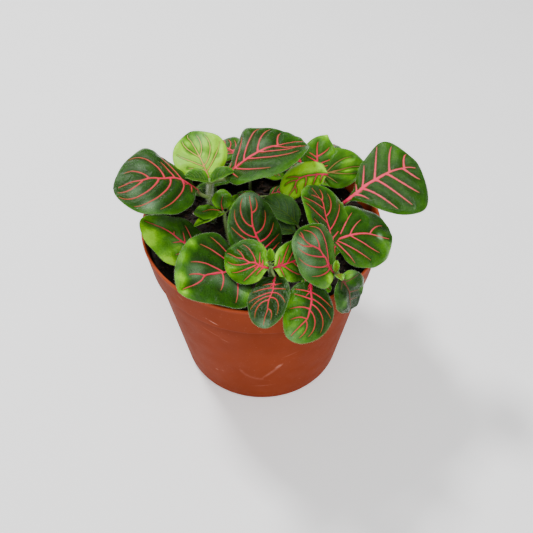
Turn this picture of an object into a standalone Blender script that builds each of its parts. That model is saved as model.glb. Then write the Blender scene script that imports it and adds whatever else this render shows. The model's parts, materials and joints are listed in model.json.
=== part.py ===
"""Potted nerve plant: a moulded nursery pot, its peat filling and fourteen leafy stems.

The pot stands on z = 0 with its axis on Z; the plant is seen from the front along +Y.
Leaves grow in opposite pairs, each pair turned a quarter turn from the pair below.
"""
import math
import random

import bmesh
import bpy
import numpy as np

MM = 0.001

# ---- driving dimensions (mm) ----
RIM_R = 60.0             # outer radius of the lip
POT_H = 95.0
COLLAR_Z = 75.5          # underside of the collar
WALL = 1.3
BASE_R = 42.2
SOIL_Z = 86.3            # mean level of the peat
GAP = 0.3                # left between neighbouring pieces
HOLE_R = 4.0             # drainage holes
HOLE_COUNT = 8
BLADE = 0.75             # leaf thickness
STEM_FOOT = 74.0         # how deep the stems stand in the peat
STEPS = 40               # facets round the pot and the peat


# ---- scene and materials ----
for old in list(bpy.data.objects):
    bpy.data.objects.remove(old, do_unlink=True)

parts = bpy.data.collections.new("nerve_plant")
cutters = bpy.data.collections.new("cutters")
bpy.context.scene.collection.children.link(parts)
bpy.context.scene.collection.children.link(cutters)


def material(name, colour, roughness):
    mat = bpy.data.materials.new(name)
    mat.use_nodes = True
    bsdf = mat.node_tree.nodes["Principled BSDF"]
    bsdf.inputs["Base Color"].default_value = (*colour, 1.0)
    bsdf.inputs["Roughness"].default_value = roughness
    return mat


def solid(name, mesh, home):
    obj = bpy.data.objects.new(name, mesh)
    home.objects.link(obj)
    return obj


def bake(obj):
    """Keep the evaluated mesh and drop the modifiers."""
    graph = bpy.context.evaluated_depsgraph_get()
    mesh = bpy.data.meshes.new_from_object(obj.evaluated_get(graph))
    obj.modifiers.clear()
    old = obj.data
    obj.data = mesh
    if old.users == 0:
        bpy.data.meshes.remove(old)


def tidy(mesh, weld=1e-6):
    bm = bmesh.new()
    bm.from_mesh(mesh)
    bmesh.ops.remove_doubles(bm, verts=bm.verts, dist=weld)
    bmesh.ops.triangulate(bm, faces=bm.faces)
    bmesh.ops.recalc_face_normals(bm, faces=bm.faces)
    bm.to_mesh(mesh)
    bm.free()


def settle(mesh, shortest):
    """Triangles only, without the crumbs a union leaves: each edge under the limit is drawn together where
    its two ends share just the two opposite corners, so the surface stays closed."""
    bm = bmesh.new()
    bm.from_mesh(mesh)
    bmesh.ops.triangulate(bm, faces=bm.faces, ngon_method="BEAUTY")
    for _ in range(8):
        used, merged = set(), {}
        for e in sorted(bm.edges, key=lambda q: q.calc_length()):
            if e.calc_length() > shortest * MM:
                break
            a, b = e.verts
            near_a = {q.other_vert(a) for q in a.link_edges}
            near_b = {q.other_vert(b) for q in b.link_edges}
            zone = near_a | near_b
            if len(near_a & near_b) == 2 and len(e.link_faces) == 2 and not zone & used:
                middle = (a.co + b.co) / 2
                a.co = b.co = middle
                merged[a] = b
                used |= zone
        if not merged:
            break
        bmesh.ops.weld_verts(bm, targetmap=merged)
    bmesh.ops.triangulate(bm, faces=bm.faces)
    bm.to_mesh(mesh)
    bm.free()


def cylinder(name, x, y, z0, z1, radius, sides):
    bm = bmesh.new()
    bmesh.ops.create_cone(bm, cap_ends=True, segments=sides, radius1=radius * MM, radius2=radius * MM,
                          depth=(z1 - z0) * MM)
    bmesh.ops.translate(bm, verts=bm.verts, vec=(x * MM, y * MM, (z0 + z1) / 2 * MM))
    mesh = bpy.data.meshes.new(name)
    bm.to_mesh(mesh)
    bm.free()
    obj = solid(name, mesh, cutters)
    obj.hide_render = True
    obj.display_type = "WIRE"
    return obj


# ---- pot: one turned wall, lip to foot, then the drainage holes ----
OUTER = [(RIM_R, POT_H - 0.9), (RIM_R - 0.1, POT_H - 2.2), (57.3, COLLAR_Z + 0.5), (56.9, COLLAR_Z),
         (55.6, COLLAR_Z - 0.4), (44.2, 6.0), (43.6, 2.6), (BASE_R, 0.5), (BASE_R - 1.0, 0.0), (38.8, 0.0),
         (37.8, 2.4), (29.4, 2.4), (28.4, 0.0), (0.0, 0.0)]
INNER = [(0.0, WALL), (27.9, WALL), (28.9, 2.4 + WALL), (38.3, 2.4 + WALL), (39.4, WALL + 0.1),
         (41.0, WALL + 0.2), (42.4, 3.2), (43.0, 6.3), (54.2, COLLAR_Z - 1.2), (55.6, COLLAR_Z + 0.2),
         (58.4, POT_H - 2.0), (58.9, POT_H - 0.2), (59.4, POT_H)]


def lathe(name, profile, steps):
    mesh = bpy.data.meshes.new(name)
    steps_up = [(i, i + 1) for i in range(len(profile) - 1)]
    mesh.from_pydata([(r * MM, 0, z * MM) for r, z in profile], steps_up, [])
    obj = solid(name, mesh, parts)
    screw = obj.modifiers.new("turn", "SCREW")
    screw.axis = "Z"
    screw.steps = screw.render_steps = steps
    screw.use_merge_vertices = True
    screw.merge_threshold = 0.00001
    bake(obj)
    return obj


pot = lathe("pot", INNER + OUTER, STEPS)
for k in range(HOLE_COUNT):
    a = math.radians((k + 0.5) * 360 / HOLE_COUNT)
    cut = cylinder("drain_%d" % k, 33.6 * math.cos(a), 33.6 * math.sin(a), 1.0, 6.0, HOLE_R, 12)
    mod = pot.modifiers.new("drain", "BOOLEAN")
    mod.operation, mod.object, mod.solver = "DIFFERENCE", cut, "EXACT"
bake(pot)
tidy(pot.data)
for old in list(cutters.objects):
    bpy.data.objects.remove(old, do_unlink=True)
pot.data.materials.append(material("pot_plastic", (0.30, 0.055, 0.018), 0.38))


# ---- growth table (mm, degrees) ----
# Each leaf: foot of the blade, heading (from +X), rise at the foot, droop to the tip, roll (right edge down),
# length, width; then, where they differ from a plain leaf, sweep (bend to the left), cup, fold, the place of
# the widest part, bluntness, length of the narrow neck and how much wider the right half is.
def leaf(at, heading, rise, droop, roll, length, width, **shape):
    row = dict(at=at, heading=heading, rise=rise, droop=droop, roll=roll, length=length, width=width,
               sweep=0, cup=18, fold=4, peak=0.48, blunt=0.57, neck=0.12, lop=0.0)
    row.update(shape)
    return row


SHOOTS = {
    "shoot_front": dict(thick=2.0, stem=[(6, -34, 68), (5, -37, 90), (4, -41, 100), (4, -46, 110)], leaves=[
        leaf((3, -48, 111), 153, 4, 9, -35, 22, 21, sweep=-17, cup=20, peak=0.48, blunt=0.53),
        leaf((5, -48, 111), 27, 0, 10, 52, 23, 19, sweep=10, cup=20, fold=6),
        leaf((3, -34, 100), 107, 33, 0, 10, 35, 28, sweep=-23, cup=27, fold=0, peak=0.42, blunt=0.50),
        leaf((6, -48, 106), 257, -2, 28, 18, 26, 19.5, cup=10, fold=12, peak=0.50, blunt=0.45, neck=0.06),
        leaf((-6, -34, 97), 223, 28, 17, -22, 43.5, 41, sweep=10, cup=9, fold=13, peak=0.42, blunt=0.65,
             neck=0.25),
        leaf((4, -45, 112), 95, 62, 20, 0, 6, 4, fold=35),
        leaf((4, -47, 112), 275, 62, 20, 0, 6, 4, fold=35),
    ]),
    "shoot_front_right": dict(thick=1.8, stem=[(28, -36, 68), (30, -39, 90), (32, -43, 99), (34, -46, 106)],
        leaves=[
        leaf((33, -44, 103), 172, 60, 17, -15, 30, 30, sweep=-28, cup=14, fold=8, peak=0.45, blunt=0.54),
        leaf((34.5, -49, 107), 340, -40, 64, 22, 23, 20.5, sweep=6, peak=0.50, blunt=0.54, neck=0.08),
        leaf((33, -47, 107), 85, 50, 20, 0, 5, 4.5, fold=20),
        leaf((33, -48, 107), 275, 25, 20, 0, 6, 5, fold=20),
    ]),
    "shoot_hanging": dict(thick=1.7, stem=[(16, -40, 68), (18, -43, 90), (20, -46, 98), (21, -49, 104)],
        leaves=[
        leaf((21.5, -51.5, 107), 247, -12, 18, -20, 29.5, 23.5, sweep=-46, cup=27, fold=0, peak=0.44,
             blunt=0.48, neck=0.06, lop=-0.18),
        leaf((17.5, -44, 101.5), 338, -2, 25, 10, 15.5, 12),
        leaf((20, -45, 101), 70, 10, 25, 0, 16, 13),
    ]),
    "shoot_right": dict(thick=1.8, stem=[(32, -24, 68), (33, -25, 90), (34, -28, 100)], leaves=[
        leaf((34, -33, 101), 105, 39, 24, 30, 38, 28, sweep=18, cup=12, fold=11, peak=0.64, blunt=0.46,
             lop=-0.05),
        leaf((33, -26, 105.5), 20, 1, 34, 20, 34, 34, sweep=-12, cup=20, peak=0.44, blunt=0.38, neck=0.08),
    ]),
    "shoot_far_right": dict(thick=1.9, stem=[(36, 4, 68), (37, 3, 90), (39, 0, 105)], leaves=[
        leaf((37, -1, 104), 195, 5, 20, 0, 14, 11),
        leaf((40, -1, 107), 15, 44, 40, 13, 41, 44, sweep=14, cup=15, fold=5, peak=0.72, blunt=0.50,
             neck=0.38, lop=0.13),
    ]),
    "shoot_back_left": dict(thick=2.4, stem=[(-25, 7, 68), (-25, 8, 90), (-26, 10, 101), (-25, 11, 111)],
        leaves=[
        leaf((-31, 6, 110), 200, 56, 80, -8, 46, 45, sweep=-28, cup=21, fold=2, peak=0.54, blunt=0.58,
             neck=0.24, lop=0.12),
        leaf((-19, 13, 111), 20, 56, 80, -5, 49, 42, sweep=54, cup=12, fold=10, peak=0.48, blunt=0.66,
             neck=0.25),
        leaf((-26, 15, 109), 116, 46, 34, -8, 27.5, 28, cup=14, fold=10, peak=0.48),
        leaf((-25.5, 7, 114), 172, 16, 14, 0, 12.5, 11, fold=45, cup=25),
        leaf((-25, 7, 114), 14, 26, 16, 0, 13, 10, fold=45, cup=25),
    ]),
    "shoot_sprig": dict(thick=2.2, stem=[(-16, -9, 70), (-17, -6, 91), (-18, -2, 95), (-18.5, 2, 98)],
        leaves=[
        leaf((-19.5, 3, 99), 92, 42, 30, 0, 11.5, 10.5),
        leaf((-21, 3, 99), 190, 12, 20, 10, 13, 14),
        leaf((-18, 3, 98), 215, 6, 12, 15, 18.5, 8, fold=26),
        leaf((-17, 4, 98), 45, 45, 20, 0, 9.5, 5, fold=35),
    ]),
    "shoot_left": dict(thick=1.6, stem=[(-23, -24, 68), (-23, -24, 89), (-26, -24, 91)], leaves=[
        leaf((-28, -23, 92), 156, 37, 31, 1, 36, 29, sweep=9, cup=25, fold=2, peak=0.40, blunt=0.52),
        leaf((-23, -25, 91), 330, 10, 20, 0, 18, 14),
    ]),
    "shoot_back_right": dict(thick=1.7, stem=[(28, 14, 68), (28, 15, 90), (28, 17, 107)], leaves=[
        leaf((27, 17, 110), 71, 43, 34, 16, 23.5, 19, sweep=-26, cup=22, peak=0.45, blunt=0.85, lop=0.15),
        leaf((30, 18, 109), 16, 11, 24, 44, 25, 21, cup=24, peak=0.38, blunt=0.60, lop=-0.1),
        leaf((33, 12, 114), 202, 0, 58, -38, 26, 18, sweep=74, cup=50, fold=-2, blunt=0.47, lop=0.2),
        leaf((25, 21, 106), 160, 18, 25, 0, 18, 13),
    ]),
    "shoot_middle": dict(thick=1.5, stem=[(17, -11, 68), (18, -10, 90), (19, -9, 97)], leaves=[
        leaf((18, -8, 99), 138, 22, 25, -10, 23, 16, fold=38, cup=20),
        leaf((17, -10, 96), 163, 8, 20, -10, 17, 12, fold=38, cup=20),
    ]),
    "shoot_low": dict(thick=1.3, stem=[(2, 18, 68), (2, 18, 89), (2, 20, 93)], leaves=[
        leaf((-1, 20, 94), 205, 15, 25, 0, 15, 12),
        leaf((4, 20, 94), 15, 18, 25, 0, 15, 12),
        leaf((2, 18, 93), 290, 25, 30, 0, 11, 9),
    ]),
    "shoot_rear": dict(thick=1.9, stem=[(-6, 33, 68), (-6, 34, 90), (-7, 38, 100)], leaves=[
        leaf((-3, 42, 102), 62, 15, 55, -8, 32, 27),
        leaf((-11, 40, 104), 136, 3, 42, -6, 28, 23),
        leaf((-12, 37, 98), 200, 8, 35, 0, 22, 18),
        leaf((-2, 36, 99), -12, 9, 30, 0, 18, 15),
    ]),
    "shoot_rear_right": dict(thick=1.7, stem=[(24, 34, 68), (24, 35, 90), (25, 37, 97)], leaves=[
        leaf((28, 40, 100), 62, 10, 45, -5, 26, 21),
        leaf((22, 40, 98), 125, 18, 40, 5, 19, 16),
        leaf((29, 35, 95), -20, 10, 30, 0, 17, 14),
    ]),
    "shoot_rear_left": dict(thick=1.6, stem=[(-38, 22, 68), (-38, 22, 90), (-38, 24, 97)], leaves=[
        leaf((-42, 23, 99), 178, 8, 35, 0, 23, 18),
        leaf((-38, 28, 99), 92, 14, 32, 0, 20, 16),
        leaf((-35, 22, 97), -20, 20, 30, 0, 13, 11),
    ]),
}


# ---- leaf blades ----
def outline(v, peak, blunt, neck):
    """Half width along the blade as a share of its greatest value."""
    s = np.sin(np.pi * np.clip(v, 0, 1) ** (math.log(0.5) / math.log(peak)))
    k = np.clip(v / neck, 0, 1)
    return np.clip(s, 0, 1) ** blunt * (0.3 + 0.7 * k * k * (3 - 2 * k))


def blade_surface(u, v, row):
    """Point and normal of the upper face; u runs -1..1 across, v 0..1 from foot to tip.

    The midrib is a line whose pitch falls evenly by the droop and whose heading turns evenly by the sweep;
    each half of the blade leaves it folded up and bends down again by the cup.
    """
    def frame(t):
        head = np.radians(row["heading"] + row["sweep"] * (t - 0.5))
        pitch = np.radians(row["rise"] - row["droop"] * t)
        along = np.stack([np.cos(pitch) * np.cos(head), np.cos(pitch) * np.sin(head), np.sin(pitch)], -1)
        side = np.stack([np.sin(head), -np.cos(head), np.zeros_like(head)], -1)
        return along, side, np.cross(side, along)

    ts = np.linspace(0, 1, 65)
    step = frame(ts)[0]
    run = np.concatenate([[[0, 0, 0]], np.cumsum((step[1:] + step[:-1]) / 2, axis=0)]) / 64 * row["length"]
    rib = np.stack([np.interp(v, ts, run[:, k]) for k in range(3)], -1) + np.array(row["at"], float)
    along, side0, up0 = frame(v)
    roll = math.radians(row["roll"])
    side = side0 * math.cos(roll) - up0 * math.sin(roll)
    up = up0 * math.cos(roll) + side0 * math.sin(roll)
    a, fold, cup = np.abs(u), math.radians(row["fold"]), math.radians(row["cup"]) + 1e-6
    half = row["width"] / 2 * outline(v, row["peak"], row["blunt"], row["neck"])
    half = half * (1 + row["lop"] * np.sign(u))
    out = (math.sin(fold) - np.sin(fold - cup * a)) / cup * half * np.sign(u)
    lift = (np.cos(fold - cup * a) - math.cos(fold)) / cup * half
    wave = 0.018 * row["width"] * np.sin(15.0 * v + row["heading"] + 1.3 * (u > 0)) * a ** 3
    lift = lift + wave * np.minimum(1, half / (0.1 * row["width"]))
    tilt = (fold - cup * a) * np.sign(u)
    normal = up * np.cos(tilt)[..., None] - side * np.sin(tilt)[..., None]
    return rib + side * out[..., None] + up * lift[..., None], normal


def blade(name, row, home):
    """Solid leaf: a grid laid on the surface, its twin below, closed along the margin."""
    cols, rows = (6, 8) if row["length"] > 27 else (6, 6) if row["length"] > 20 else (4, 5)
    bm = bmesh.new()
    bmesh.ops.create_grid(bm, x_segments=cols, y_segments=rows, size=1.0)
    flat = np.array([v.co[:] for v in bm.verts])
    v = (1 - np.cos(np.pi * (flat[:, 1] + 1) / 2)) / 2
    u = np.where((v < 1e-6) | (v > 1 - 1e-6), 0.0, flat[:, 0])     # both ends run to a point
    top, normal = blade_surface(u, v, row)
    for vert, p in zip(bm.verts, top):
        vert.co = p * MM
    rib = np.exp(-(u / 0.2) ** 2) * (1 - v)          # the midrib stands out below
    thick = BLADE + min(1.0, 0.02 * row["width"]) * rib
    below = (top - normal * thick[:, None]) * MM
    upper_faces = list(bm.faces)
    lower = [bm.verts.new(p) for p in below]
    bm.verts.index_update()
    count = len(u)
    edges = [e for e in bm.edges if len(e.link_faces) == 1]
    upper = list(bm.verts)[:count]
    for f in upper_faces:
        a, b, c, d = [q.index for q in f.verts]
        bm.faces.new([upper[a], upper[b], upper[c]])
        bm.faces.new([upper[a], upper[c], upper[d]])
        bm.faces.new([lower[c], lower[b], lower[a]])
        bm.faces.new([lower[d], lower[c], lower[a]])
    for e in edges:
        a, b = [q.index for q in e.verts]
        bm.faces.new([upper[a], upper[b], lower[b], lower[a]])
    bmesh.ops.delete(bm, geom=upper_faces, context="FACES_ONLY")
    mesh = bpy.data.meshes.new(name)
    bm.to_mesh(mesh)
    bm.free()
    tidy(mesh, 1e-7)
    return solid(name, mesh, home)


def tube(name, points, radii, sides, home):
    """Closed tapering tube along a bent line."""
    pts = np.array(points, float)
    mesh = bpy.data.meshes.new(name)
    tangent = np.gradient(pts, axis=0)
    tangent /= np.linalg.norm(tangent, axis=1)[:, None]
    ref = np.array([1.0, 0.0, 0.0]) if abs(tangent[:, 0]).max() < 0.8 else np.array([0.0, 1.0, 0.0])
    side = np.cross(tangent, ref)
    side /= np.linalg.norm(side, axis=1)[:, None]
    up = np.cross(side, tangent)
    ang = np.arange(sides) * 2 * np.pi / sides
    ring = (pts[:, None] + np.array(radii)[:, None, None]
            * (side[:, None] * np.cos(ang)[None, :, None] + up[:, None] * np.sin(ang)[None, :, None]))
    verts = [tuple(p) for p in ring.reshape(-1, 3) * MM]
    faces = [tuple(range(sides))[::-1], tuple(range((len(pts) - 1) * sides, len(pts) * sides))]
    for i in range(len(pts) - 1):
        for k in range(sides):
            j = (k + 1) % sides
            faces.append((i * sides + k, i * sides + j, (i + 1) * sides + j, (i + 1) * sides + k))
    mesh.from_pydata(verts, [], faces)
    tidy(mesh, 1e-6)
    return solid(name, mesh, home)


def stem_line(row):
    """The stem stands upright in the peat, then bends through the given points."""
    pts = np.array(row["stem"], float)
    foot = pts[0].copy()
    foot[2] = STEM_FOOT
    low = pts[0].copy()
    low[2] = SOIL_Z + 1.5
    return np.vstack([foot, low, pts[1:]])


def stalk_line(row, stem):
    """From the nearest stem point to the foot of the blade and on under its midrib."""
    at = np.array(row["at"], float)
    near = stem[2:][np.argmin(np.linalg.norm(stem[2:] - at - np.array([0, 0, -3.0]), axis=1))]
    v = np.array([0.04, 0.3])
    rib, normal = blade_surface(np.zeros(2), v, row)
    under = rib - normal * 0.55
    middle = near * 0.45 + under[0] * 0.55 - np.array([0, 0, 0.25 * np.linalg.norm(near - under[0]) * 0.3])
    return np.vstack([near, middle, under])


leaf_green = material("leaf_green", (0.055, 0.15, 0.035), 0.5)
for name, row in SHOOTS.items():
    home = bpy.data.collections.new(name + "_pieces")
    bpy.context.scene.collection.children.link(home)
    stem = stem_line(row)
    thick = row["thick"]
    node = tube(name, stem, np.linspace(thick, thick * 0.72, len(stem)) / 2, 7, parts)
    for k, item in enumerate(row["leaves"]):
        blade("blade_%d" % k, item, home)
        w = min(1.0, 0.35 + item["width"] / 50)
        line = stalk_line(item, stem)
        tube("stalk_%d" % k, line, np.array([0.95, 0.85, 0.8, 0.55]) * w, 6, home)
    mod = node.modifiers.new("grow", "BOOLEAN")
    mod.operation, mod.operand_type, mod.collection, mod.solver = "UNION", "COLLECTION", home, "MANIFOLD"
    bake(node)
    settle(node.data, 0.09)
    node.data.materials.append(leaf_green)
    for old in list(home.objects):
        bpy.data.objects.remove(old, do_unlink=True)
    bpy.data.collections.remove(home)


# ---- peat: fills the pot, crumbly on top, a plain hole round every stem ----
def pot_bore(z):
    inner = [(41.9, 4.4), (43.0, 6.3), (54.2, COLLAR_Z - 1.2), (55.6, COLLAR_Z + 0.2), (58.4, POT_H - 2.0)]
    return float(np.interp(z, [p[1] for p in inner], [p[0] for p in inner])) - GAP - 0.1


rng = random.Random(11)
levels = [(4.4, pot_bore(4.4)), (6.6, pot_bore(6.4)), (COLLAR_Z - 1.6, pot_bore(COLLAR_Z - 1.6)),
          (COLLAR_Z + 0.4, pot_bore(COLLAR_Z) - 0.2), (SOIL_Z - 1.4, pot_bore(SOIL_Z - 1.4))]
verts, faces, rings = [], [], []


def ring_of(radius, height):
    rings.append(len(verts))
    for s in range(STEPS):
        a = 2 * math.pi * s / STEPS
        verts.append((radius * math.cos(a) * MM, radius * math.sin(a) * MM, height(a) * MM))


def crumb(radius):
    def height(a):
        x, y = radius * math.cos(a), radius * math.sin(a)
        return (SOIL_Z + 0.7 * math.sin(x * 0.19 + 1.0) * math.cos(y * 0.23)
                + 0.5 * math.sin(x * 0.41 - y * 0.37) + rng.uniform(-0.45, 0.45) - 0.9 * (radius / 57) ** 8)
    return height


for z, r in levels:
    ring_of(r, lambda a, z=z: z)
for r in (54.4, 45.5, 36.0, 26.0, 15.0):
    ring_of(r, crumb(r))
bottom, top = len(verts), len(verts) + 1
verts += [(0, 0, 4.4 * MM), (0, 0, SOIL_Z * MM)]
for s in range(STEPS):
    t = (s + 1) % STEPS
    faces.append((bottom, rings[0] + t, rings[0] + s))
    faces.append((top, rings[-1] + s, rings[-1] + t))
    for a, b in zip(rings, rings[1:]):
        faces.append((a + s, a + t, b + t, b + s))
mesh = bpy.data.meshes.new("soil")
mesh.from_pydata(verts, [], faces)
tidy(mesh)
soil = solid("soil", mesh, parts)
for name, row in SHOOTS.items():
    x, y, _ = row["stem"][0]
    cut = cylinder("hole_" + name, x, y, STEM_FOOT - GAP, POT_H, row["thick"] / 2 + GAP + 0.1, 10)
    mod = soil.modifiers.new("hole", "BOOLEAN")
    mod.operation, mod.object, mod.solver = "DIFFERENCE", cut, "EXACT"
bake(soil)
tidy(soil.data)
for old in list(cutters.objects):
    bpy.data.objects.remove(old, do_unlink=True)
soil.data.materials.append(material("peat", (0.012, 0.009, 0.007), 0.95))

for obj in parts.objects:
    obj.data.shade_smooth()
    obj.data.set_sharp_from_angle(angle=math.radians(35))
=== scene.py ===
"""Potted nerve plant: the finished look of its pot, its peat and its fourteen shoots.

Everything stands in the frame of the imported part: metres, Z up, the pot's axis on Z, its foot on z = 0, and
the plant seen from the front along +Y. Sizes below are in millimetres until a mesh is made.
"""

import json
import math

import bpy
import numpy as np
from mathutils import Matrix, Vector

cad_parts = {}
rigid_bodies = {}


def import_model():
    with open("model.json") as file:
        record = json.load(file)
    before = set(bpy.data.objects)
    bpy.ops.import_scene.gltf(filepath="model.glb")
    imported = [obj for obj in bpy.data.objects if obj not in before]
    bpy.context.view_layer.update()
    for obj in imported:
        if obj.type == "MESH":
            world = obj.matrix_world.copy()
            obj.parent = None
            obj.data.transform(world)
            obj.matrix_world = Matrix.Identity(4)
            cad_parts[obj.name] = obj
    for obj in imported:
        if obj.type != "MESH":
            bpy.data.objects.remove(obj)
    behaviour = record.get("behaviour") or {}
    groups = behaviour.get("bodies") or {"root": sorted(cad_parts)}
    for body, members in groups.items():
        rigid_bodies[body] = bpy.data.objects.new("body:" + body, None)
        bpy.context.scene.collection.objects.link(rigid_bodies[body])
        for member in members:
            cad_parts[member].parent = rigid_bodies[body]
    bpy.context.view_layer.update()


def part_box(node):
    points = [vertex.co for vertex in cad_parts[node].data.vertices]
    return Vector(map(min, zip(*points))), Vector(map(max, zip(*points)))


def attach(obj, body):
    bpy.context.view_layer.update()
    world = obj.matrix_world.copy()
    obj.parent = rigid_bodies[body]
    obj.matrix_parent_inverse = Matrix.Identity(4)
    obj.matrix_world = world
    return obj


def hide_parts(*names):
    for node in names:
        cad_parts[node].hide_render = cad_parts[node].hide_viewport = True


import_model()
for old in [o for o in bpy.data.objects if o.type in ("LIGHT", "CAMERA") or o.name == "Cube"]:
    bpy.data.objects.remove(old, do_unlink=True)


# ==== The pot =========================================================================================
# A nursery pot of thin brown polypropylene, moulded in one shot: a flared collar over a tapering wall, a
# rounded lip, and a raised ring in the foot with eight drainage holes. It holds the peat and the plant.
MM = 0.001
pot_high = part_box("pot")[1]
LIP_R = pot_high.x / MM                 # 60
POT_H = pot_high.z / MM                 # 95
COLLAR_Z = POT_H - 19.5                 # underside of the collar
POT_WALL = [                            # radius, height: middle of the foot, up outside, down inside
    (28.4, 0.0), (29.4, 2.4), (37.8, 2.4), (38.8, 0.0), (41.2, 0.0), (42.6, 0.5), (43.6, 2.4), (44.2, 6.0),
    (55.6, COLLAR_Z - 0.5), (56.9, COLLAR_Z - 0.1), (57.3, COLLAR_Z + 0.8), (LIP_R - 0.3, POT_H - 2.4),
    (LIP_R, POT_H - 1.6), (LIP_R, POT_H - 0.5), (LIP_R - 0.5, POT_H), (58.9, POT_H - 0.2),
    (58.5, POT_H - 1.6), (55.8, COLLAR_Z + 0.6), (54.2, COLLAR_Z - 1.2), (43.0, 6.3), (42.4, 3.0),
    (41.0, 1.5), (39.4, 1.4), (38.3, 3.7), (28.9, 3.7), (27.9, 1.3)]
POT_EASE = 0.8                          # how far each corner of the profile is eased
POT_AROUND = 168
DRAIN_R, DRAIN_AT, DRAINS = 4.0, 33.6, 8
PLASTIC_BROWN = (129, 52, 24)
PLASTIC_DARK = (119, 46, 20)
PLASTIC_SHADOW = (80, 29, 13)
PLASTIC_LIP_HIGHLIGHT = (172, 74, 42)
SCUFF_WHITE = (220, 146, 126)
UNROLL_R = 50.0                         # the radius at which the wall is unrolled for its marks
LIP_HIGHLIGHT_DEPTH = 2.2                          # how far down the lip is painted paler, as its highlight
COLLAR_SHADE_BAND, COLLAR_SHADE_DROP = 12.0, 9.0      # height of the band of painted shadow, and how much of it is under the collar
BOW_AT, BOW_R, BOW_HALF = (-0.6, 36.7, 0.0), 11.4, 1.5      # middle, radius, half width of the bowed scuff
BOW_TOP, BOW_SIDE, BOW_FORCE = 34.0, 0.5, 0.14              # where it ends above and at its right, its force
POT_MARKS = [   # mm round the wall from the front, height, half length, half width, turn in degrees, force
    (4.6, 32.4, 10.2, 1.3, 53, 0.2), (8.4, 38.3, 3.6, 1.4, 52, 0.5), (-26.8, 25.0, 1.2, 1.1, 0, 0.32),
    (-22.8, 26.5, 1.0, 0.8, 0, 0.2), (-20.3, 79.4, 2.8, 0.45, -27, 0.9), (-23.4, 80.9, 1.0, 0.25, -50, 0.5),
    (-35.0, 88.0, 2.2, 0.35, -35, 0.45), (-24.0, 66.0, 6.5, 0.4, -22, 0.22),
    (-17.5, 62.0, 3.0, 0.4, -25, 0.25), (14.0, 49.0, 5.0, 0.8, 22, 0.12), (0.0, 17.0, 8.0, 0.9, 8, 0.12),
    (46.0, 60.0, 3.5, 0.5, 70, 0.25), (70.0, 44.0, 9.0, 0.5, -30, 0.3), (120.0, 52.0, 7.0, 0.6, 40, 0.3),
    (-92.0, 36.0, 6.0, 0.7, 12, 0.3), (-128.0, 78.0, 2.0, 0.3, -30, 0.6), (96.0, 84.0, 1.6, 0.3, 20, 0.6)]


def eased(profile, reach, steps=4):
    """The profile with its corners rounded: each corner c becomes the curve (1-t)^2 a + 2t(1-t) c + t^2 b,
    where a and b lie on its two sides, the reach away from it or at most 0.45 of the side."""
    line = np.array(profile, float)
    before, corner, after = line[:-2], line[1:-1], line[2:]
    near = [np.minimum(reach / np.linalg.norm(q - corner, axis=1), 0.45)[:, None] for q in (before, after)]
    a, b = corner + (before - corner) * near[0], corner + (after - corner) * near[1]
    t = np.linspace(0, 1, steps)[None, :, None]
    bends = (1 - t) ** 2 * a[:, None] + 2 * t * (1 - t) * corner[:, None] + t ** 2 * b[:, None]
    return np.vstack([line[:1], bends.reshape(-1, 2), line[-1:]])


def lengths(line):
    """The way along a line of points, from nothing at its first."""
    return np.concatenate([[0], np.cumsum(np.linalg.norm(np.diff(line, axis=0), axis=1))])


def filled(line, longest):
    """The same line with points added so that no step is longer than given."""
    run = lengths(line)
    at = np.union1d(run, np.arange(0, run[-1], longest))
    at = at[np.concatenate([[True], np.diff(at) > 0.04])]
    return np.stack([np.interp(at, run, line[:, k]) for k in range(line.shape[1])], -1)


def ringed(rings, foot, tip):
    """A closed skin over rings of points (rows, around, 3): four-sided faces between neighbouring rings
    and a fan from one point at each end. Rings that turn anticlockwise about the way up face outward."""
    rows, around = rings.shape[:2]
    k = np.arange(around)
    j = (k + 1) % around
    low = (np.arange(rows - 1) * around)[:, None]
    quads = np.stack([low + k, low + j, low + around + j, low + around + k], -1).reshape(-1, 4)
    last, end = (rows - 1) * around, k * 0 + rows * around
    fans = np.vstack([np.stack([end, j, k], -1), np.stack([end + 1, last + k, last + j], -1)])
    return dict(points=np.vstack([rings.reshape(-1, 3), [foot], [tip]]), quads=quads, fans=fans, marks={})


def angles(count):
    """A full turn in even steps."""
    return np.arange(count) * 2 * np.pi / count


def circles(profile, around):
    """The rings that the points of a profile (radius, height) draw about Z."""
    a, r, z = angles(around), profile[:, :1], profile[:, 1:]
    return np.stack([r * np.cos(a), r * np.sin(a), z + 0 * a], -1)


def turned(profile, around):
    """The profile turned about Z, closed on the axis at both ends."""
    return ringed(circles(profile, around), (0, 0, profile[0, 1]), (0, 0, profile[-1, 1]))


def knit(name, forms, finish):
    """One smooth-shaded object from several forms: their points one after another, each form's faces
    counted on from its first point, and each mark kept as a number on every point."""
    first = np.cumsum([0] + [len(f["points"]) for f in forms])[:-1]
    points = np.concatenate([f["points"] for f in forms]) * MM
    quads = np.concatenate([f["quads"].reshape(-1, 4) + s for f, s in zip(forms, first)]).astype(np.int32)
    fans = np.concatenate([f["fans"].reshape(-1, 3) + s for f, s in zip(forms, first)]).astype(np.int32)
    mesh = bpy.data.meshes.new(name)
    mesh.vertices.add(len(points))
    mesh.vertices.foreach_set("co", points.astype(np.float32).ravel())
    mesh.loops.add(quads.size + fans.size)
    mesh.loops.foreach_set("vertex_index", np.concatenate([quads.ravel(), fans.ravel()]))
    mesh.polygons.add(len(quads) + len(fans))
    mesh.polygons.foreach_set("loop_start", np.concatenate(
        [np.arange(len(quads)) * 4, quads.size + np.arange(len(fans)) * 3]).astype(np.int32))
    for mark in forms[0]["marks"]:
        values = np.concatenate([np.broadcast_to(f["marks"][mark], len(f["points"])) for f in forms])
        mesh.attributes.new(mark, "FLOAT", "POINT").data.foreach_set("value", values.astype(np.float32))
    mesh.update(calc_edges=True)
    mesh.shade_smooth()
    mesh.materials.append(finish)
    piece = bpy.data.objects.new(name, mesh)
    bpy.context.scene.collection.objects.link(piece)
    return piece


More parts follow.
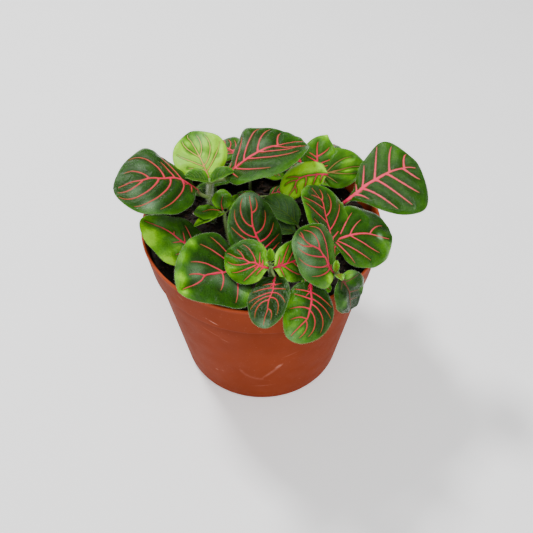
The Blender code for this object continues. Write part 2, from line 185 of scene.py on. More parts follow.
def bored(piece, cutter):
    """The piece with the cutter taken out of it, the result kept as its mesh."""
    cut = piece.modifiers.new("bore", "BOOLEAN")
    cut.operation, cut.object, cut.solver = "DIFFERENCE", cutter, "EXACT"
    whole = bpy.data.meshes.new_from_object(piece.evaluated_get(bpy.context.evaluated_depsgraph_get()))
    piece.modifiers.clear()
    piece.data = whole
    bpy.data.objects.remove(cutter, do_unlink=True)


def shade(colour):
    """A screen colour, 0 to 255, as linear light: ((c + 0.055) / 1.055) ^ 2.4, or c / 12.92 near black."""
    c = np.array(colour) / 255
    return (*np.where(c < 0.04045, c / 12.92, ((c + 0.055) / 1.055) ** 2.4), 1.0)


def node(tree, kind, own=None, **inputs):
    """One node with its own settings; an input is a number, a vector or another node's socket, named with _
    for a space. Math and vector nodes take a, b and c for their sockets in order."""
    made = tree.nodes.new("ShaderNode" + kind)
    for key, value in (own or {}).items():
        setattr(made, key, value)
    order = dict(a=0, b=1, c=2)
    for key, value in inputs.items():
        fed(tree, made.inputs[order[key] if key in order else key.replace("_", " ")], value)
    return made


def fed(tree, socket, value):
    """A socket fed by another node's socket, or set to a value."""
    if isinstance(value, bpy.types.NodeSocket):
        tree.links.new(value, socket)
    else:
        socket.default_value = value


def new_finish(name, **sockets):
    """A node material, its tree, and the place on the piece; sockets are the shader's own constants."""
    made = bpy.data.materials.new(name)
    made.use_nodes = True
    tree = made.node_tree
    for socket, value in sockets.items():
        tree.nodes["Principled BSDF"].inputs[socket.replace("_", " ")].default_value = value
    return made, tree, node(tree, "TexCoord").outputs["Object"]


def coated(made, colour, rough, strength, depth, height):
    """The finish with its colour, its roughness and a bump of that strength and depth (m) wired in."""
    tree = made.node_tree
    bump = node(tree, "Bump", Strength=strength, Distance=depth, Height=height)
    for socket, value in (("Base Color", colour), ("Roughness", rough), ("Normal", bump.outputs[0])):
        tree.links.new(value, tree.nodes["Principled BSDF"].inputs[socket])
    return made


def sums(tree, operation, a, b=0.0, c=0.0, clamp=False):
    """The result of one Math node."""
    return node(tree, "Math", dict(operation=operation, use_clamp=clamp), a=a, b=b, c=c).outputs[0]


def times(tree, a, b, clamp=False):
    """Two values multiplied."""
    return sums(tree, "MULTIPLY", a, b, clamp=clamp)


def mixed(tree, amount, one, other):
    """Two colours mixed by the amount."""
    made = node(tree, "Mix", dict(data_type="RGBA"))
    for place, value in ((0, amount), (6, one), (7, other)):
        fed(tree, made.inputs[place], shade(value) if isinstance(value, tuple) else value)
    return made.outputs[2]


def graded(tree, value, *stops):
    """A colour ramp over the value; each stop is its place and its colour or grey."""
    made = node(tree, "ValToRGB", Fac=value)
    ramp = made.color_ramp
    for place, _ in stops[2:]:
        ramp.elements.new(place)
    for element, (place, colour) in zip(ramp.elements, sorted(stops, key=lambda s: s[0])):
        element.position = place
        element.color = shade(colour) if isinstance(colour, tuple) else (colour, colour, colour, 1.0)
    return made.outputs[0]


def grain(tree, where, size, detail=3.0, rough=0.55):
    """Soft random blotches about the given size in millimetres, from 0 to 1."""
    return node(tree, "TexNoise", Vector=where, Scale=1 / (size * MM), Detail=detail,
                Roughness=rough).outputs[0]


def drift(tree, where, size, detail, low, high):
    """A value that drifts between low and high over blotches of that size."""
    return graded(tree, grain(tree, where, size, detail), (0.3, low), (0.7, high))


def plastic_finish():
    """Satin moulded plastic: a brown that drifts a little, a paler lip that is a painted highlight, a band of
    painted shadow under the collar, rubbed streaks that run round the wall, and scuffs and nicks, each an
    oval spot on the unrolled wall, with one bowed scuff low on the front."""
    made, tree, where = new_finish("pot_plastic_worn_shaded", IOR=1.47, Specular_IOR_Level=0.04)
    x, y, z = node(tree, "SeparateXYZ", Vector=where).outputs
    round_mm = times(tree, sums(tree, "ARCTAN2", x, times(tree, y, -1.0)), UNROLL_R)
    up_mm = times(tree, z, 1 / MM)
    wall = node(tree, "CombineXYZ", X=round_mm, Y=up_mm, Z=0.0).outputs[0]

    def above(level, band):
        return sums(tree, "DIVIDE", sums(tree, "SUBTRACT", up_mm, level), band)

    slow = graded(tree, grain(tree, where, 28, 4), (0.35, 0.0), (0.7, 1.0))
    colour = mixed(tree, slow, PLASTIC_DARK, PLASTIC_BROWN)
    # Painted highlight: the lip paler, where its thin edge catches the light.
    lip = graded(tree, above(POT_H - LIP_HIGHLIGHT_DEPTH, LIP_HIGHLIGHT_DEPTH), (0.0, 0.0), (0.8, 0.85))
    colour = mixed(tree, lip, colour, PLASTIC_LIP_HIGHLIGHT)
    # Painted shadow: a dark band just under the collar, where the collar's shade falls on the wall.
    band = above(COLLAR_Z - COLLAR_SHADE_DROP, COLLAR_SHADE_BAND)
    collar_shade = graded(tree, band, (0.0, 0.0), (0.6, 0.28), (0.77, 0.75), (0.79, 0.0))
    colour = mixed(tree, collar_shade, colour, PLASTIC_SHADOW)

    slanted = node(tree, "Mapping", Vector=wall, Scale=(0.05, 1.7, 1.0), Rotation=(0, 0, 0.12)).outputs[0]
    streak = node(tree, "TexNoise", Scale=1.0, Detail=2.0, Roughness=0.5, Vector=slanted).outputs[0]
    patch = node(tree, "TexNoise", Scale=0.06, Detail=1.0, Vector=wall).outputs[0]
    rubbed = times(tree, graded(tree, streak, (0.63, 0.0), (0.74, 1.0)),
                   graded(tree, patch, (0.48, 0.0), (0.62, 1.0)))

    away = node(tree, "VectorMath", dict(operation="DISTANCE"), a=wall, b=BOW_AT).outputs["Value"]
    off = sums(tree, "ABSOLUTE", sums(tree, "SUBTRACT", away, BOW_R))
    bow = sums(tree, "SUBTRACT", 1.0, sums(tree, "DIVIDE", off, BOW_HALF), clamp=True)
    quarter = times(tree, sums(tree, "GREATER_THAN", BOW_TOP, up_mm),
                    sums(tree, "LESS_THAN", round_mm, BOW_SIDE))
    marks = times(tree, times(tree, bow, quarter), BOW_FORCE)
    for across, up, half_long, half_thick, turn, force in POT_MARKS:
        local = node(tree, "Mapping", dict(vector_type="TEXTURE"), Vector=wall, Location=(across, up, 0.0),
                     Rotation=(0, 0, math.radians(turn)), Scale=(half_long, half_thick, 1.0)).outputs[0]
        reach = node(tree, "VectorMath", dict(operation="LENGTH"), a=local).outputs["Value"]
        spot = graded(tree, reach, (0.35, 1.0), (1.0, 0.0))
        marks = sums(tree, "MAXIMUM", marks, times(tree, spot, force))
    broken = node(tree, "TexNoise", Scale=0.9, Detail=3.0, Vector=wall).outputs[0]
    marks = times(tree, marks, graded(tree, broken, (0.35, 0.45), (0.6, 1.0)))
    marks = sums(tree, "MAXIMUM", marks, times(tree, rubbed, 0.04))
    colour = mixed(tree, marks, colour, SCUFF_WHITE)
    dust = times(tree, graded(tree, grain(tree, where, 1.1, 2), (0.66, 0.0), (0.74, 1.0)), 0.12)
    colour = mixed(tree, dust, colour, SCUFF_WHITE)
    rough = sums(tree, "ADD", drift(tree, where, 9, 4, 0.56, 0.68), times(tree, marks, 0.3))
    height = sums(tree, "ADD", grain(tree, where, 0.7, 2), times(tree, grain(tree, where, 16, 2), 2.0))
    return coated(made, colour, rough, 0.22, 0.0003, height)


pot_profile = filled(eased(POT_WALL, POT_EASE), 2.2)
pot = knit("pot_shell", [turned(pot_profile, POT_AROUND)], plastic_finish())
drain_rods = []
for angle in (np.arange(DRAINS) + 0.5) * 2 * np.pi / DRAINS:
    drain_rod = turned(np.array([(DRAIN_R, 1.0), (DRAIN_R, 6.0)]), 28)
    drain_rod["points"] += [DRAIN_AT * math.cos(angle), DRAIN_AT * math.sin(angle), 0.0]
    drain_rods.append(drain_rod)
bored(pot, knit("drain_rods", drain_rods, pot.data.materials[0]))
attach(pot, "root")
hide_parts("pot")


# ==== The peat ========================================================================================
# Dark moss peat with bits of bark and a little white grit, pressed into the pot to 9 mm under the lip. It is
# loose on top: a lumpy bed, and on it single crumbs, short fibres and grains that have come free.
SOIL_Z = 86.3                           # mean level
BED_FOOT, BED_R = 4.4, 56.5
BED_RINGS, BED_AROUND = 74, 264
PEAT_BLACK, PEAT_BROWN, PEAT_FIBRE = (16, 13, 11), (40, 30, 23), (88, 66, 46)
GRIT_WHITE, GRIT_STAIN = (205, 200, 190), (120, 104, 86)
CRUMBS, FIBRES, GRITS = 1500, 240, 170


def lumps(x, y, size, seed):
    """Smooth random heights between -1 and 1: random values on a square lattice of that size, blended
    between its corners by 3t^2 - 2t^3 in each direction."""
    table = np.random.default_rng(seed).uniform(-1, 1, (97, 97))
    gx, gy = np.asarray(x) / size + 48, np.asarray(y) / size + 48
    i, j = np.floor(gx).astype(int), np.floor(gy).astype(int)
    s, t = gx - i, gy - j
    s, t = s * s * (3 - 2 * s), t * t * (3 - 2 * t)
    at = lambda a, b: table[a % 97, b % 97]
    return ((at(i, j) * (1 - s) + at(i + 1, j) * s) * (1 - t)
            + (at(i, j + 1) * (1 - s) + at(i + 1, j + 1) * s) * t)


def bed_height(x, y):
    """The bed's level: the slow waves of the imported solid, a fall of 0.9 mm at the wall, then lumps of
    three sizes, the finer ones kept upward so that they stand as crumbs."""
    wide = 0.7 * np.sin(x * 0.19 + 1.0) * np.cos(y * 0.23) + 0.5 * np.sin(x * 0.41 - y * 0.37)
    wall = -0.9 * (np.hypot(x, y) / 57) ** 8
    return (SOIL_Z + wide + wall + 0.75 * lumps(x, y, 4.6, 3) + 0.55 * np.abs(lumps(x, y, 1.9, 4))
            + 0.4 * np.abs(lumps(x, y, 0.9, 5)))


def peat_bed():
    """A closed body: up the inside of the wall in plain rings, then inward over the bed in rings whose
    height follows the bed."""
    sides = [(2.0, BED_FOOT), (41.4, BED_FOOT), (42.6, 6.6), (53.4, COLLAR_Z - 1.6), (55.0, COLLAR_Z + 0.6)]
    low = circles(np.array(sides), BED_AROUND)
    r = np.linspace(1, 0, BED_RINGS + 1)[:-1, None] ** 0.75 * BED_R
    top = circles(np.hstack([r, 0 * r]), BED_AROUND)
    top[..., 2] = bed_height(top[..., 0], top[..., 1])
    return ringed(np.concatenate([low, top]), (0, 0, BED_FOOT), (0, 0, float(bed_height(0.0, 0.0))))


def copies(points, faces, **marks):
    """Many like forms as one: points is (forms, corners, 3), faces those of the first form."""
    count, corners = points.shape[:2]
    fans = faces[None] + corners * np.arange(count)[:, None, None]
    return dict(points=points.reshape(-1, 3), quads=np.zeros((0, 4), int), fans=fans.reshape(-1, 3),
                marks={name: np.repeat(values, corners) for name, values in marks.items()})


def strewn(count, sizes, stretch, seed, bark, reach=55.0, lift=0.15):
    """Loose bits on the bed: an eight-pointed lump of twelve faces, its points pushed in and out at random,
    stretched and turned at random, and laid at random places with its middle a little above the bed."""
    rng = np.random.default_rng(seed)
    corners = np.array([(x, y, z) for x in (-1, 1) for y in (-1, 1) for z in (-1, 1)], float) / math.sqrt(3)
    faces = np.array([(0, 1, 3), (0, 3, 2), (4, 6, 7), (4, 7, 5), (0, 4, 5), (0, 5, 1),
                      (2, 3, 7), (2, 7, 6), (0, 2, 6), (0, 6, 4), (1, 5, 7), (1, 7, 3)])
    size = rng.uniform(*sizes, count)
    body = corners * rng.uniform(0.65, 1.25, (count, 8, 1)) * size[:, None, None] / 2
    body[:, :, 0] *= rng.uniform(*stretch, count)[:, None]
    turn, tip = rng.uniform(0, 2 * np.pi, count), rng.uniform(-0.5, 0.5, count)
    c, s = np.cos(tip)[:, None], np.sin(tip)[:, None]
    x, z = body[:, :, 0] * c - body[:, :, 2] * s, body[:, :, 0] * s + body[:, :, 2] * c
    c, s = np.cos(turn)[:, None], np.sin(turn)[:, None]
    x, y = x * c - body[:, :, 1] * s, x * s + body[:, :, 1] * c
    away, angle = reach * np.sqrt(rng.uniform(0, 1, count)), rng.uniform(0, 2 * np.pi, count)
    px, py = away * np.cos(angle), away * np.sin(angle)
    middle = np.stack([px, py, bed_height(px, py) + lift * size], -1)
    return copies(np.stack([x, y, z], -1) + middle[:, None], faces, bark=rng.uniform(*bark, count))


def read(tree, mark):
    """A mark that the piece carries on its points."""
    return node(tree, "Attribute", dict(attribute_name=mark)).outputs["Fac"]


def peat_finish(name, marked):
    """Damp peat: near black, browner in drifts and on the bits of bark, dull, and rough to the light."""
    made, tree, where = new_finish(name, Specular_IOR_Level=0.25)
    colour = graded(tree, grain(tree, where, 3.2, 5, 0.7), (0.35, PEAT_BLACK), (0.62, PEAT_BROWN),
                    (0.8, PEAT_FIBRE))
    if marked:
        colour = mixed(tree, read(tree, "bark"), colour, PEAT_FIBRE)
    return coated(made, colour, drift(tree, where, 1.4, 3, 0.72, 0.98), 0.7, 0.0004,
                  grain(tree, where, 0.6, 4, 0.7))


def grit_finish():
    """Grains of perlite: chalky white, a little stained by the peat."""
    made, tree, where = new_finish("grit_white", Specular_IOR_Level=0.3)
    colour = graded(tree, grain(tree, where, 1.2, 3), (0.35, GRIT_STAIN), (0.6, GRIT_WHITE))
    return coated(made, colour, drift(tree, where, 1.2, 3, 0.95, 0.8), 0.5, 0.0002,
                  grain(tree, where, 0.25, 2))


peat = knit("peat_bed", [peat_bed()], peat_finish("peat_damp", False))
loose = [strewn(CRUMBS, (0.7, 2.3), (0.8, 1.5), 21, (0.0, 0.45)),
         strewn(FIBRES, (0.35, 0.7), (6.0, 14.0), 22, (0.35, 1.0), reach=52.0, lift=0.9)]
crumbs = knit("peat_crumbs", loose, peat_finish("peat_bits", True))
grit = knit("peat_grit", [strewn(GRITS, (0.5, 1.3), (0.8, 1.3), 23, (0.0, 1.0), lift=0.3)], grit_finish())
for piece in (peat, crumbs, grit):
    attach(piece, "root")
    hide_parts("soil")


# ==== The leaves ======================================================================================
# Each shoot bears opposite pairs of oval leaves: soft, half a millimetre thick, raised in pads between the
# veins. Grown leaves are deep green with a brighter rim, young ones yellow-green.
#
# Each shoot of the table gives its stem: how thick it is and the points it runs through; knob (how far it
# swells at a pair of leaves), coat (how many hairs) and fur (how long they are) where it is woollier than
# the rest. Each row is one leaf.
# Shape, as in the imported part: foot of the blade, heading (from +X), rise at the foot, droop to the tip,
# roll (right edge down), length, width; then sweep, cup, fold, place of the widest part, bluntness, neck
# and lop where not plain.
# Look: fresh (0 grown to 1 young), foot (fresher at the foot), brim (fresher at the rim), puff (height of
# the pads), pale (veins from crimson to pale pink, plum below 0), tone (coral from the foot on), blush
# (veins from green to red), stout (their width), ends (where the midrib ends), spurs (at its foot).
# glow and the sheen patches after it are patches, each as place across, place along, reach in mm, amount:
# glow fresher, the others a painted sheen where the down catches the light; one above 1 is a white fleck.
# rib, left and right are in hundredths of the blade. rib: where the midrib wanders, as place along and
# place across. left, right: the side veins, each as where it leaves the midrib, how far out it reaches,
# where it ends along, and its bow and hook where not plain.
def leaf(at, heading, rise, droop, roll, length, width, **more):
    """One row of the table, with the plain values where it gives none."""
    row = dict(at=at, heading=heading, rise=rise, droop=droop, roll=roll, length=length, width=width,
               sweep=0, cup=18, fold=4, peak=0.48, blunt=0.57, neck=0.12, lop=0.0,
               fresh=0.12, foot=0.0, brim=0.2, puff=0.35, glow=(), bloom=(),
               pale=0.25, blush=1.0, stout=1.0, ends=0.94, tone=0.0, spurs=1.0,
               rib=[(0, 0), (35, 3), (70, -3), (100, 0)], left=None, right=None)
    row.update(more)
    for key in ("rib", "left", "right"):
        row[key] = row[key] and [tuple(value / 100 for value in point) for point in row[key]]
    return row


SMALL = dict(blush=0, stout=0.6, puff=0.25)     # small leaves in the middle: flat, with thin green veins
SHOOTS = {
    "shoot_front": dict(thick=2.0, stem=[(6, -34, 68), (5, -37, 90), (4, -41, 100), (4, -46, 110)], leaves=[
        leaf((3, -48, 111), 153, 4, 9, -35, 22, 21, sweep=-17, cup=20, peak=0.48, blunt=0.53, fresh=0.14,
             foot=0.52, brim=0.14, puff=0.45, pale=0.12, glow=[(-0.6, 0.75, 5, 0.35), (0.2, 0.5, 8, -0.12)],
             rib=[(0, 0), (20, 0), (30, 6), (40, 0), (57, 5), (70, 0), (90, 5)],
             left=[(10, 55, 20, 0), (20, 85, 40, 30), (25, 74, 68, 20), (41, 50, 86, 20, 20)],
             right=[(12, 40, 17, 0), (19, 62, 28, 0), (30, 70, 70, 80), (55, 42, 78, 30)]),
        leaf((5, -48, 111), 27, 0, 10, 52, 23, 19, sweep=10, cup=20, fold=6, fresh=0.2, foot=0.52,
             brim=0.14, puff=0.45, pale=0.12,
             rib=[(0, 0), (30, -3), (50, -5), (90, 0)],
             left=[(9, 60, 19, 0), (18, 85, 42, 30), (29, 60, 52, 0), (50, 60, 75)],
             right=[(13, 75, 19, 0), (22, 74, 56, 40, 20), (42, 45, 56, 20)]),
        leaf((3, -34, 100), 107, 33, 0, 10, 35, 28, sweep=-23, cup=27, fold=0, peak=0.42, blunt=0.50,
             fresh=0.0, puff=0.55, brim=0.2, pale=0, stout=1.08,
             bloom=[(-0.28, 0.9, 3.5, 0.4), (0.3, 0.92, 3, 0.3)],
             rib=[(0, 0), (25, 0), (40, -7), (60, -8), (70, -3), (95, -4)],
             left=[(12, 70, 30), (25, 85, 57), (37, 78, 78, 60, 50), (52, 58, 92, 50, 60)],
             right=[(8, 88, 24, 30), (19, 88, 36, 30), (30, 75, 54, 80, 30), (42, 58, 73, 80, 40),
                    (71, 38, 92, 60, 80)]),
        leaf((6, -48, 106), 257, -2, 28, 18, 26, 19.5, cup=10, fold=12, peak=0.50, blunt=0.45, neck=0.06,
             fresh=-0.04, brim=0.15, pale=0, stout=0.98,
             bloom=[(-0.25, 0.95, 2.6, 0.35), (0.25, 0.93, 2.6, 0.25)],
             rib=[(0, 0), (20, -3), (30, -8), (40, -4), (50, 2), (62, 0), (68, -2), (80, 3), (95, 5)],
             left=[(20, 60, 19, 0), (28, 80, 31, 0), (36, 88, 56, 120), (45, 66, 76, 100, 70),
                   (66, 42, 85, 80, 60)],
             right=[(17, 60, 22, 30), (26, 88, 38, 60), (35, 93, 58, 50), (42, 86, 70, 70),
                    (50, 67, 85, 60, 50)]),
        leaf((-6, -34, 97), 223, 28, 17, -22, 43.5, 41, sweep=10, cup=9, fold=13, peak=0.42, blunt=0.65,
             neck=0.25, fresh=0.04, puff=0.55, brim=0.1, pale=0.3, spurs=0,
             glow=[(0.9, 0.58, 3, 0.5), (0.8, 0.74, 3, 0.45), (0.55, 0.88, 3.5, 0.55), (0.2, 0.95, 3, 0.3),
                   (-0.3, 0.95, 3, 0.5), (-0.85, 0.3, 4, 0.6)],
             bloom=[(0.25, 0.7, 4, 0.5), (-0.15, 0.5, 4, 0.4), (-0.6, 0.35, 4, 0.35)],
             rib=[(0, 0), (40, 0), (50, 3), (62, 6), (70, -2), (82, -5), (92, -2)],
             left=[(20, 85, 52, 30), (40, 45, 58, 50)],
             right=[(12, 88, 33, 20), (20, 78, 48, 20), (38.5, 56, 69, 20), (62, 32, 78, 20)]),
        leaf((4, -45, 112), 95, 62, 20, 0, 6, 4, fold=35, fresh=0.6, blush=0),
        leaf((4, -47, 112), 275, 62, 20, 0, 6, 4, fold=35, fresh=0.6, blush=0),
    ]),
    "shoot_front_right": dict(thick=1.8, stem=[(28, -36, 68), (30, -39, 90), (32, -43, 99), (34, -46, 106)],
                              leaves=[
        leaf((33, -44, 103), 172, 60, 17, -15, 30, 30, sweep=-28, cup=14, fold=8, peak=0.45, blunt=0.54,
             fresh=0.12, puff=0.55, foot=0.2, brim=0.12, glow=[(-0.55, 0.12, 4, 0.45)], pale=0.2,
             bloom=[(0.35, 0.66, 3, 0.7), (-0.35, 0.82, 3.5, 0.9), (-0.6, 0.6, 4, 0.5)],
             rib=[(0, -10), (10, -6), (20, 0), (30, 12), (40, 13), (50, 17), (60, 12), (70, 5), (90, 6)],
             left=[(17, 78, 47, 80), (23, 78, 77, 50), (36, 55, 85, 10), (66, 40, 90, 20)],
             right=[(20, 82, 86, 20, 90), (51, 52, 92, 20, 80), (85, 30, 95, 20)]),
        leaf((34.5, -49, 107), 340, -40, 64, 22, 23, 20.5, sweep=6, peak=0.50, blunt=0.54, neck=0.08,
             fresh=0, puff=0.8, pale=-0.9, blush=0.9, spurs=0.6,
             glow=[(-0.45, 0.18, 3.5, 0.55), (0.1, 0.7, 9, -0.2), (0.6, 0.5, 2.5, 0.3),
                   (-0.6, 0.6, 2.5, 0.3)],
             rib=[(0, 5), (20, 8), (40, 10), (55, 18), (80, 20)],
             left=[(17, 90, 33, 0), (42, 55, 60, 0), (60, 40, 74, 0)],
             right=[(8, 50, 22, 0)]),
        leaf((33, -47, 107), 85, 60, 20, 0, 5.5, 3.4, fold=48, cup=30, fresh=0.62, blush=0.2, puff=0.6),
        leaf((33.5, -48, 106.5), 290, 35, 30, 0, 6, 4, fold=40, cup=40, fresh=0.62, blush=0.4, puff=0.6),
    ]),
    "shoot_hanging": dict(thick=1.7, stem=[(16, -40, 68), (18, -43, 90), (20, -46, 98), (21, -49, 104)],
                          leaves=[
        leaf((21.5, -51.5, 107), 247, -12, 18, -20, 29.5, 23.5, sweep=-46, cup=27, fold=0, peak=0.44,
             blunt=0.48, neck=0.06, lop=-0.18, fresh=0, brim=0.15, pale=0.02, stout=1.02,
             bloom=[(0, 0.98, 4, 0.3)],
             glow=[(0.7, 0.45, 6, 0.3), (0.5, 0.78, 6, 0.3), (-0.3, 0.85, 6, 0.3)],
             rib=[(0, 0), (20, -4), (30, -10), (40, -12), (50, -14), (62, -17), (70, -12), (80, -6),
                  (92, 0)],
             left=[(20, 90, 30, 50), (30, 92, 45, 80), (38, 86, 68, 80, 30), (48, 66, 82, 50, 40),
                   (64, 45, 90, 40, 40)],
             right=[(20, 85, 20, 0), (31, 75, 30, 0), (46, 70, 58, 100), (61, 52, 74, 80)]),
        leaf((17.5, -44, 101.5), 338, -2, 25, 10, 15.5, 12, fresh=0.3, pale=0.2),
        leaf((20, -45, 101), 70, 10, 25, 0, 16, 13),
    ]),
    "shoot_right": dict(thick=1.8, stem=[(32, -24, 68), (33, -25, 90), (34, -28, 100)], leaves=[
        leaf((34, -33, 101), 105, 39, 24, 30, 38, 28, sweep=18, cup=12, fold=11, peak=0.64, blunt=0.46,
             lop=-0.05, fresh=0.08, puff=0.55, brim=0.4, pale=0.15,
             rib=[(0, 0), (30, -3), (50, -6), (65, 0), (76, 4), (82, -5), (94, -40)],
             left=[(15, 70, 35), (28, 70, 50), (45, 87, 70, 0), (65, 90, 79, -10), (80, 50, 83, 0)],
             right=[(13, 75, 27, 50), (25, 76, 44, 30), (37, 78, 71, 50), (55, 52, 86, 40, 60),
                    (77, 25, 93, 30, 50)]),
        leaf((33, -26, 105.5), 20, 1, 34, 20, 34, 34, sweep=-12, cup=20, peak=0.44, blunt=0.38, neck=0.08,
             fresh=0.1, puff=0.55, brim=0.25, pale=0.5, spurs=0, bloom=[(0.07, 0.77, 1.3, 2.2)],
             glow=[(0.5, 0.88, 6, 0.25)],
             rib=[(0, 0), (60, -2), (80, 6), (95, 10)],
             left=[(8, 75, 45, 0), (29, 50, 54, 30), (61, 50, 86, 30)],
             right=[(0, 88, 20, 0), (5, 78, 50, 20), (29, 62, 70, 20)]),
    ]),
    "shoot_far_right": dict(thick=1.9, stem=[(36, 4, 68), (37, 3, 90), (39, 0, 105)], leaves=[
        leaf((37, -1, 104), 195, 5, 20, 0, 14, 11, fresh=0.2),
        leaf((40, -1, 107), 15, 44, 40, 13, 41, 44, sweep=14, cup=15, fold=5, peak=0.72, blunt=0.50,
             neck=0.38, lop=0.13, fresh=0.08, brim=0.12, pale=0.7, stout=1.25, puff=0.32,
             glow=[(-0.6, 0.8, 6, 0.15)],
             rib=[(0, 0), (10, 0), (30, -10), (50, -8), (70, -7), (80, -3), (90, 4), (97, 20)],
             left=[(20, 85, 24, 0), (29, 85, 43, 20), (46, 95, 68, 20), (65.5, 80, 83, 20),
                   (83, 60, 94, 20)],
             right=[(17, 60, 30, 30), (27, 85, 53, 0), (47, 80, 69, 0), (61, 66, 83, 0), (81, 50, 92, 0)]),
    ]),
    "shoot_back_left": dict(thick=2.4, knob=0.6, coat=3600, fur=2.1,
                            stem=[(-25, 7, 68), (-25, 8, 90), (-26, 10, 101), (-25, 11, 111)], leaves=[
        leaf((-31, 6, 110), 200, 56, 80, -8, 46, 45, sweep=-28, cup=21, fold=2, peak=0.54, blunt=0.58,
             neck=0.24, lop=0.12, fresh=0.04, puff=0.55, brim=0.22, pale=0.15, tone=0.15,
             bloom=[(-0.35, 0.78, 3, 0.35), (-0.78, 0.68, 3.5, 0.5), (0.4, 0.66, 4, 0.15),
                    (0.45, 0.9, 3, 0.2)],
             rib=[(0, 0), (15, 8), (30, 10), (50, 4), (60, 6), (70, 3), (80, 5), (97, -2)],
             left=[(12, 55, 17, 50), (24, 87, 58, 160), (38.5, 85, 82, 90), (52, 75, 95, 50),
                   (69, 42, 96, 30)],
             right=[(24, 85, 36, 30), (33, 55, 42, 30), (45, 90, 80, 120), (62, 50, 87, 50)]),
        leaf((-19, 13, 111), 20, 56, 80, -5, 49, 42, sweep=54, cup=12, fold=10, peak=0.48, blunt=0.66,
             neck=0.25, fresh=0.05, puff=0.55, brim=0.22, pale=0.28, stout=1.12,
             bloom=[(-0.55, 0.35, 3, 0.3), (-0.25, 0.55, 3, 0.3)], glow=[(0, 1, 7, 0.2)],
             rib=[(0, 0), (20, 0), (40, -6), (60, -6), (70, 0), (80, 8), (88, 25), (93, 50)],
             left=[(8, 70, 14), (19, 85, 37, 60), (31, 95, 69, 80), (47.5, 85, 78, 50), (69, 60, 84, 30)],
             right=[(13, 65, 24), (20, 72, 50, 30, 30), (36, 72, 77, 20), (49, 60, 84, 0), (65, 80, 88, 0)]),
        leaf((-26, 15, 109), 116, 46, 34, -8, 27.5, 28, cup=14, fold=10, peak=0.48, fresh=0.93, brim=-0.05,
             foot=0.2, puff=0.7, pale=1, stout=0.7, spurs=0,
             bloom=[(0.3, 0.75, 4, 0.5), (-0.7, 0.5, 4, 0.4), (0.0, 0.35, 4, 0.3)],
             glow=[(-0.1, 1, 8, -0.6), (-0.3, 0.6, 2.5, -0.45), (0.25, 0.5, 2.5, -0.35),
                   (0.6, 0.35, 2.5, -0.35), (-0.7, 0.3, 2.5, -0.3), (0.9, 0.6, 4, 0.2)],
             rib=[(0, 0), (20, -2), (50, -5), (70, -10), (80, -15), (90, -30)],
             left=[(17, 65, 31, 0), (24, 82, 62, 10), (44, 62, 84, 10)],
             right=[(15, 86, 58, 40), (27, 60, 80, 50, 50), (46, 30, 86, 40, 50)]),
        leaf((-25.5, 7, 114), 172, 16, 14, 0, 12.5, 11, fold=45, cup=25, fresh=0.24, **SMALL),
        leaf((-25, 7, 114), 14, 26, 16, 0, 13, 10, fold=45, cup=25, fresh=0.24, **SMALL),
    ]),
    "shoot_sprig": dict(thick=2.2, coat=500,
                        stem=[(-16, -9, 70), (-17, -6, 91), (-18, -2, 95), (-18.5, 2, 98)], leaves=[
        leaf((-19.5, 3, 99), 92, 42, 30, 0, 11.5, 10.5, fresh=0.2, brim=0.3, puff=0.25, pale=0, tone=0.5,
             stout=0.7, spurs=0, ends=0.62,
             rib=[(0, 0), (30, -10), (60, 5)],
             left=[], right=[(6, 50, 10, 0)]),
        leaf((-21, 3, 99), 190, 12, 20, 10, 13, 14, fresh=0.18, brim=0.3, puff=0.25, pale=0, tone=0.5,
             stout=0.7, spurs=0, ends=0.66,
             rib=[(0, 0), (30, 12), (66, -10)],
             left=[], right=[]),
        leaf((-18, 3, 98), 215, 6, 12, 15, 18.5, 8, fold=26, fresh=0.56, **SMALL),
        leaf((-17, 4, 98), 45, 45, 20, 0, 9.5, 5, fold=35, fresh=0.45, **SMALL),
    ]),
    "shoot_left": dict(thick=1.6, stem=[(-23, -24, 68), (-23, -24, 89), (-26, -24, 91)], leaves=[
        leaf((-28, -23, 92), 156, 37, 31, 1, 36, 29, sweep=9, cup=25, fold=2, peak=0.40, blunt=0.52,
             fresh=0.3, brim=0.2, pale=0.35, puff=0.5, bloom=[(0.15, 0.75, 3, 0.4), (-0.2, 0.4, 4, 0.2)],
             glow=[(-0.7, 0.75, 5, 0.5), (-0.35, 0.35, 4, 0.3), (-0.9, 0.35, 4, 0.4), (0.1, 0.95, 5, 0.3),
                   (0.7, 0.35, 9, -0.3)],
             rib=[(0, 0), (33, -5), (42, -4), (50, 0), (90, -2)],
             left=[(15, 60, 32, 0), (36, 30, 45, 0)],
             right=[(14, 66, 46, 0), (31, 32, 43, 0), (50, 15, 53, 0)]),
        leaf((-23, -25, 91), 330, 10, 20, 0, 18, 14, fresh=0.16, pale=0.3),
    ]),
    "shoot_back_right": dict(thick=1.7, stem=[(28, 14, 68), (28, 15, 90), (28, 17, 107)], leaves=[
        leaf((27, 17, 110), 71, 43, 34, 16, 23.5, 19, sweep=-26, cup=22, peak=0.45, blunt=0.85, lop=0.15,
             fresh=0.2, puff=0.5, pale=0.05, stout=1.5, ends=0.72,
             glow=[(0, 1, 4, 0.5), (0.7, 0.6, 4, 0.2)],
             rib=[(0, 0), (35, 0), (50, -12), (60, -22), (70, -35)],
             left=[(6, 60, 12, 0), (28, 75, 36, 0), (37, 60, 44, 0)],
             right=[(10, 80, 30, 20), (20, 75, 48, 20), (40, 50, 72, 30)]),
        leaf((30, 18, 109), 16, 11, 24, 44, 25, 21, cup=24, peak=0.38, blunt=0.60, lop=-0.1, fresh=0.22,
             puff=0.8, pale=0.5, blush=0.35, stout=0.9, spurs=0,
             glow=[(0.15, 0.55, 3, 0.5), (-0.35, 0.6, 3, 0.4), (0.1, 0.85, 3, 0.3)],
             left=[(10, 60, 70, 30), (3, 85, 30, 30)],
             right=[(5, 70, 30, 20), (20, 45, 75, 30)]),
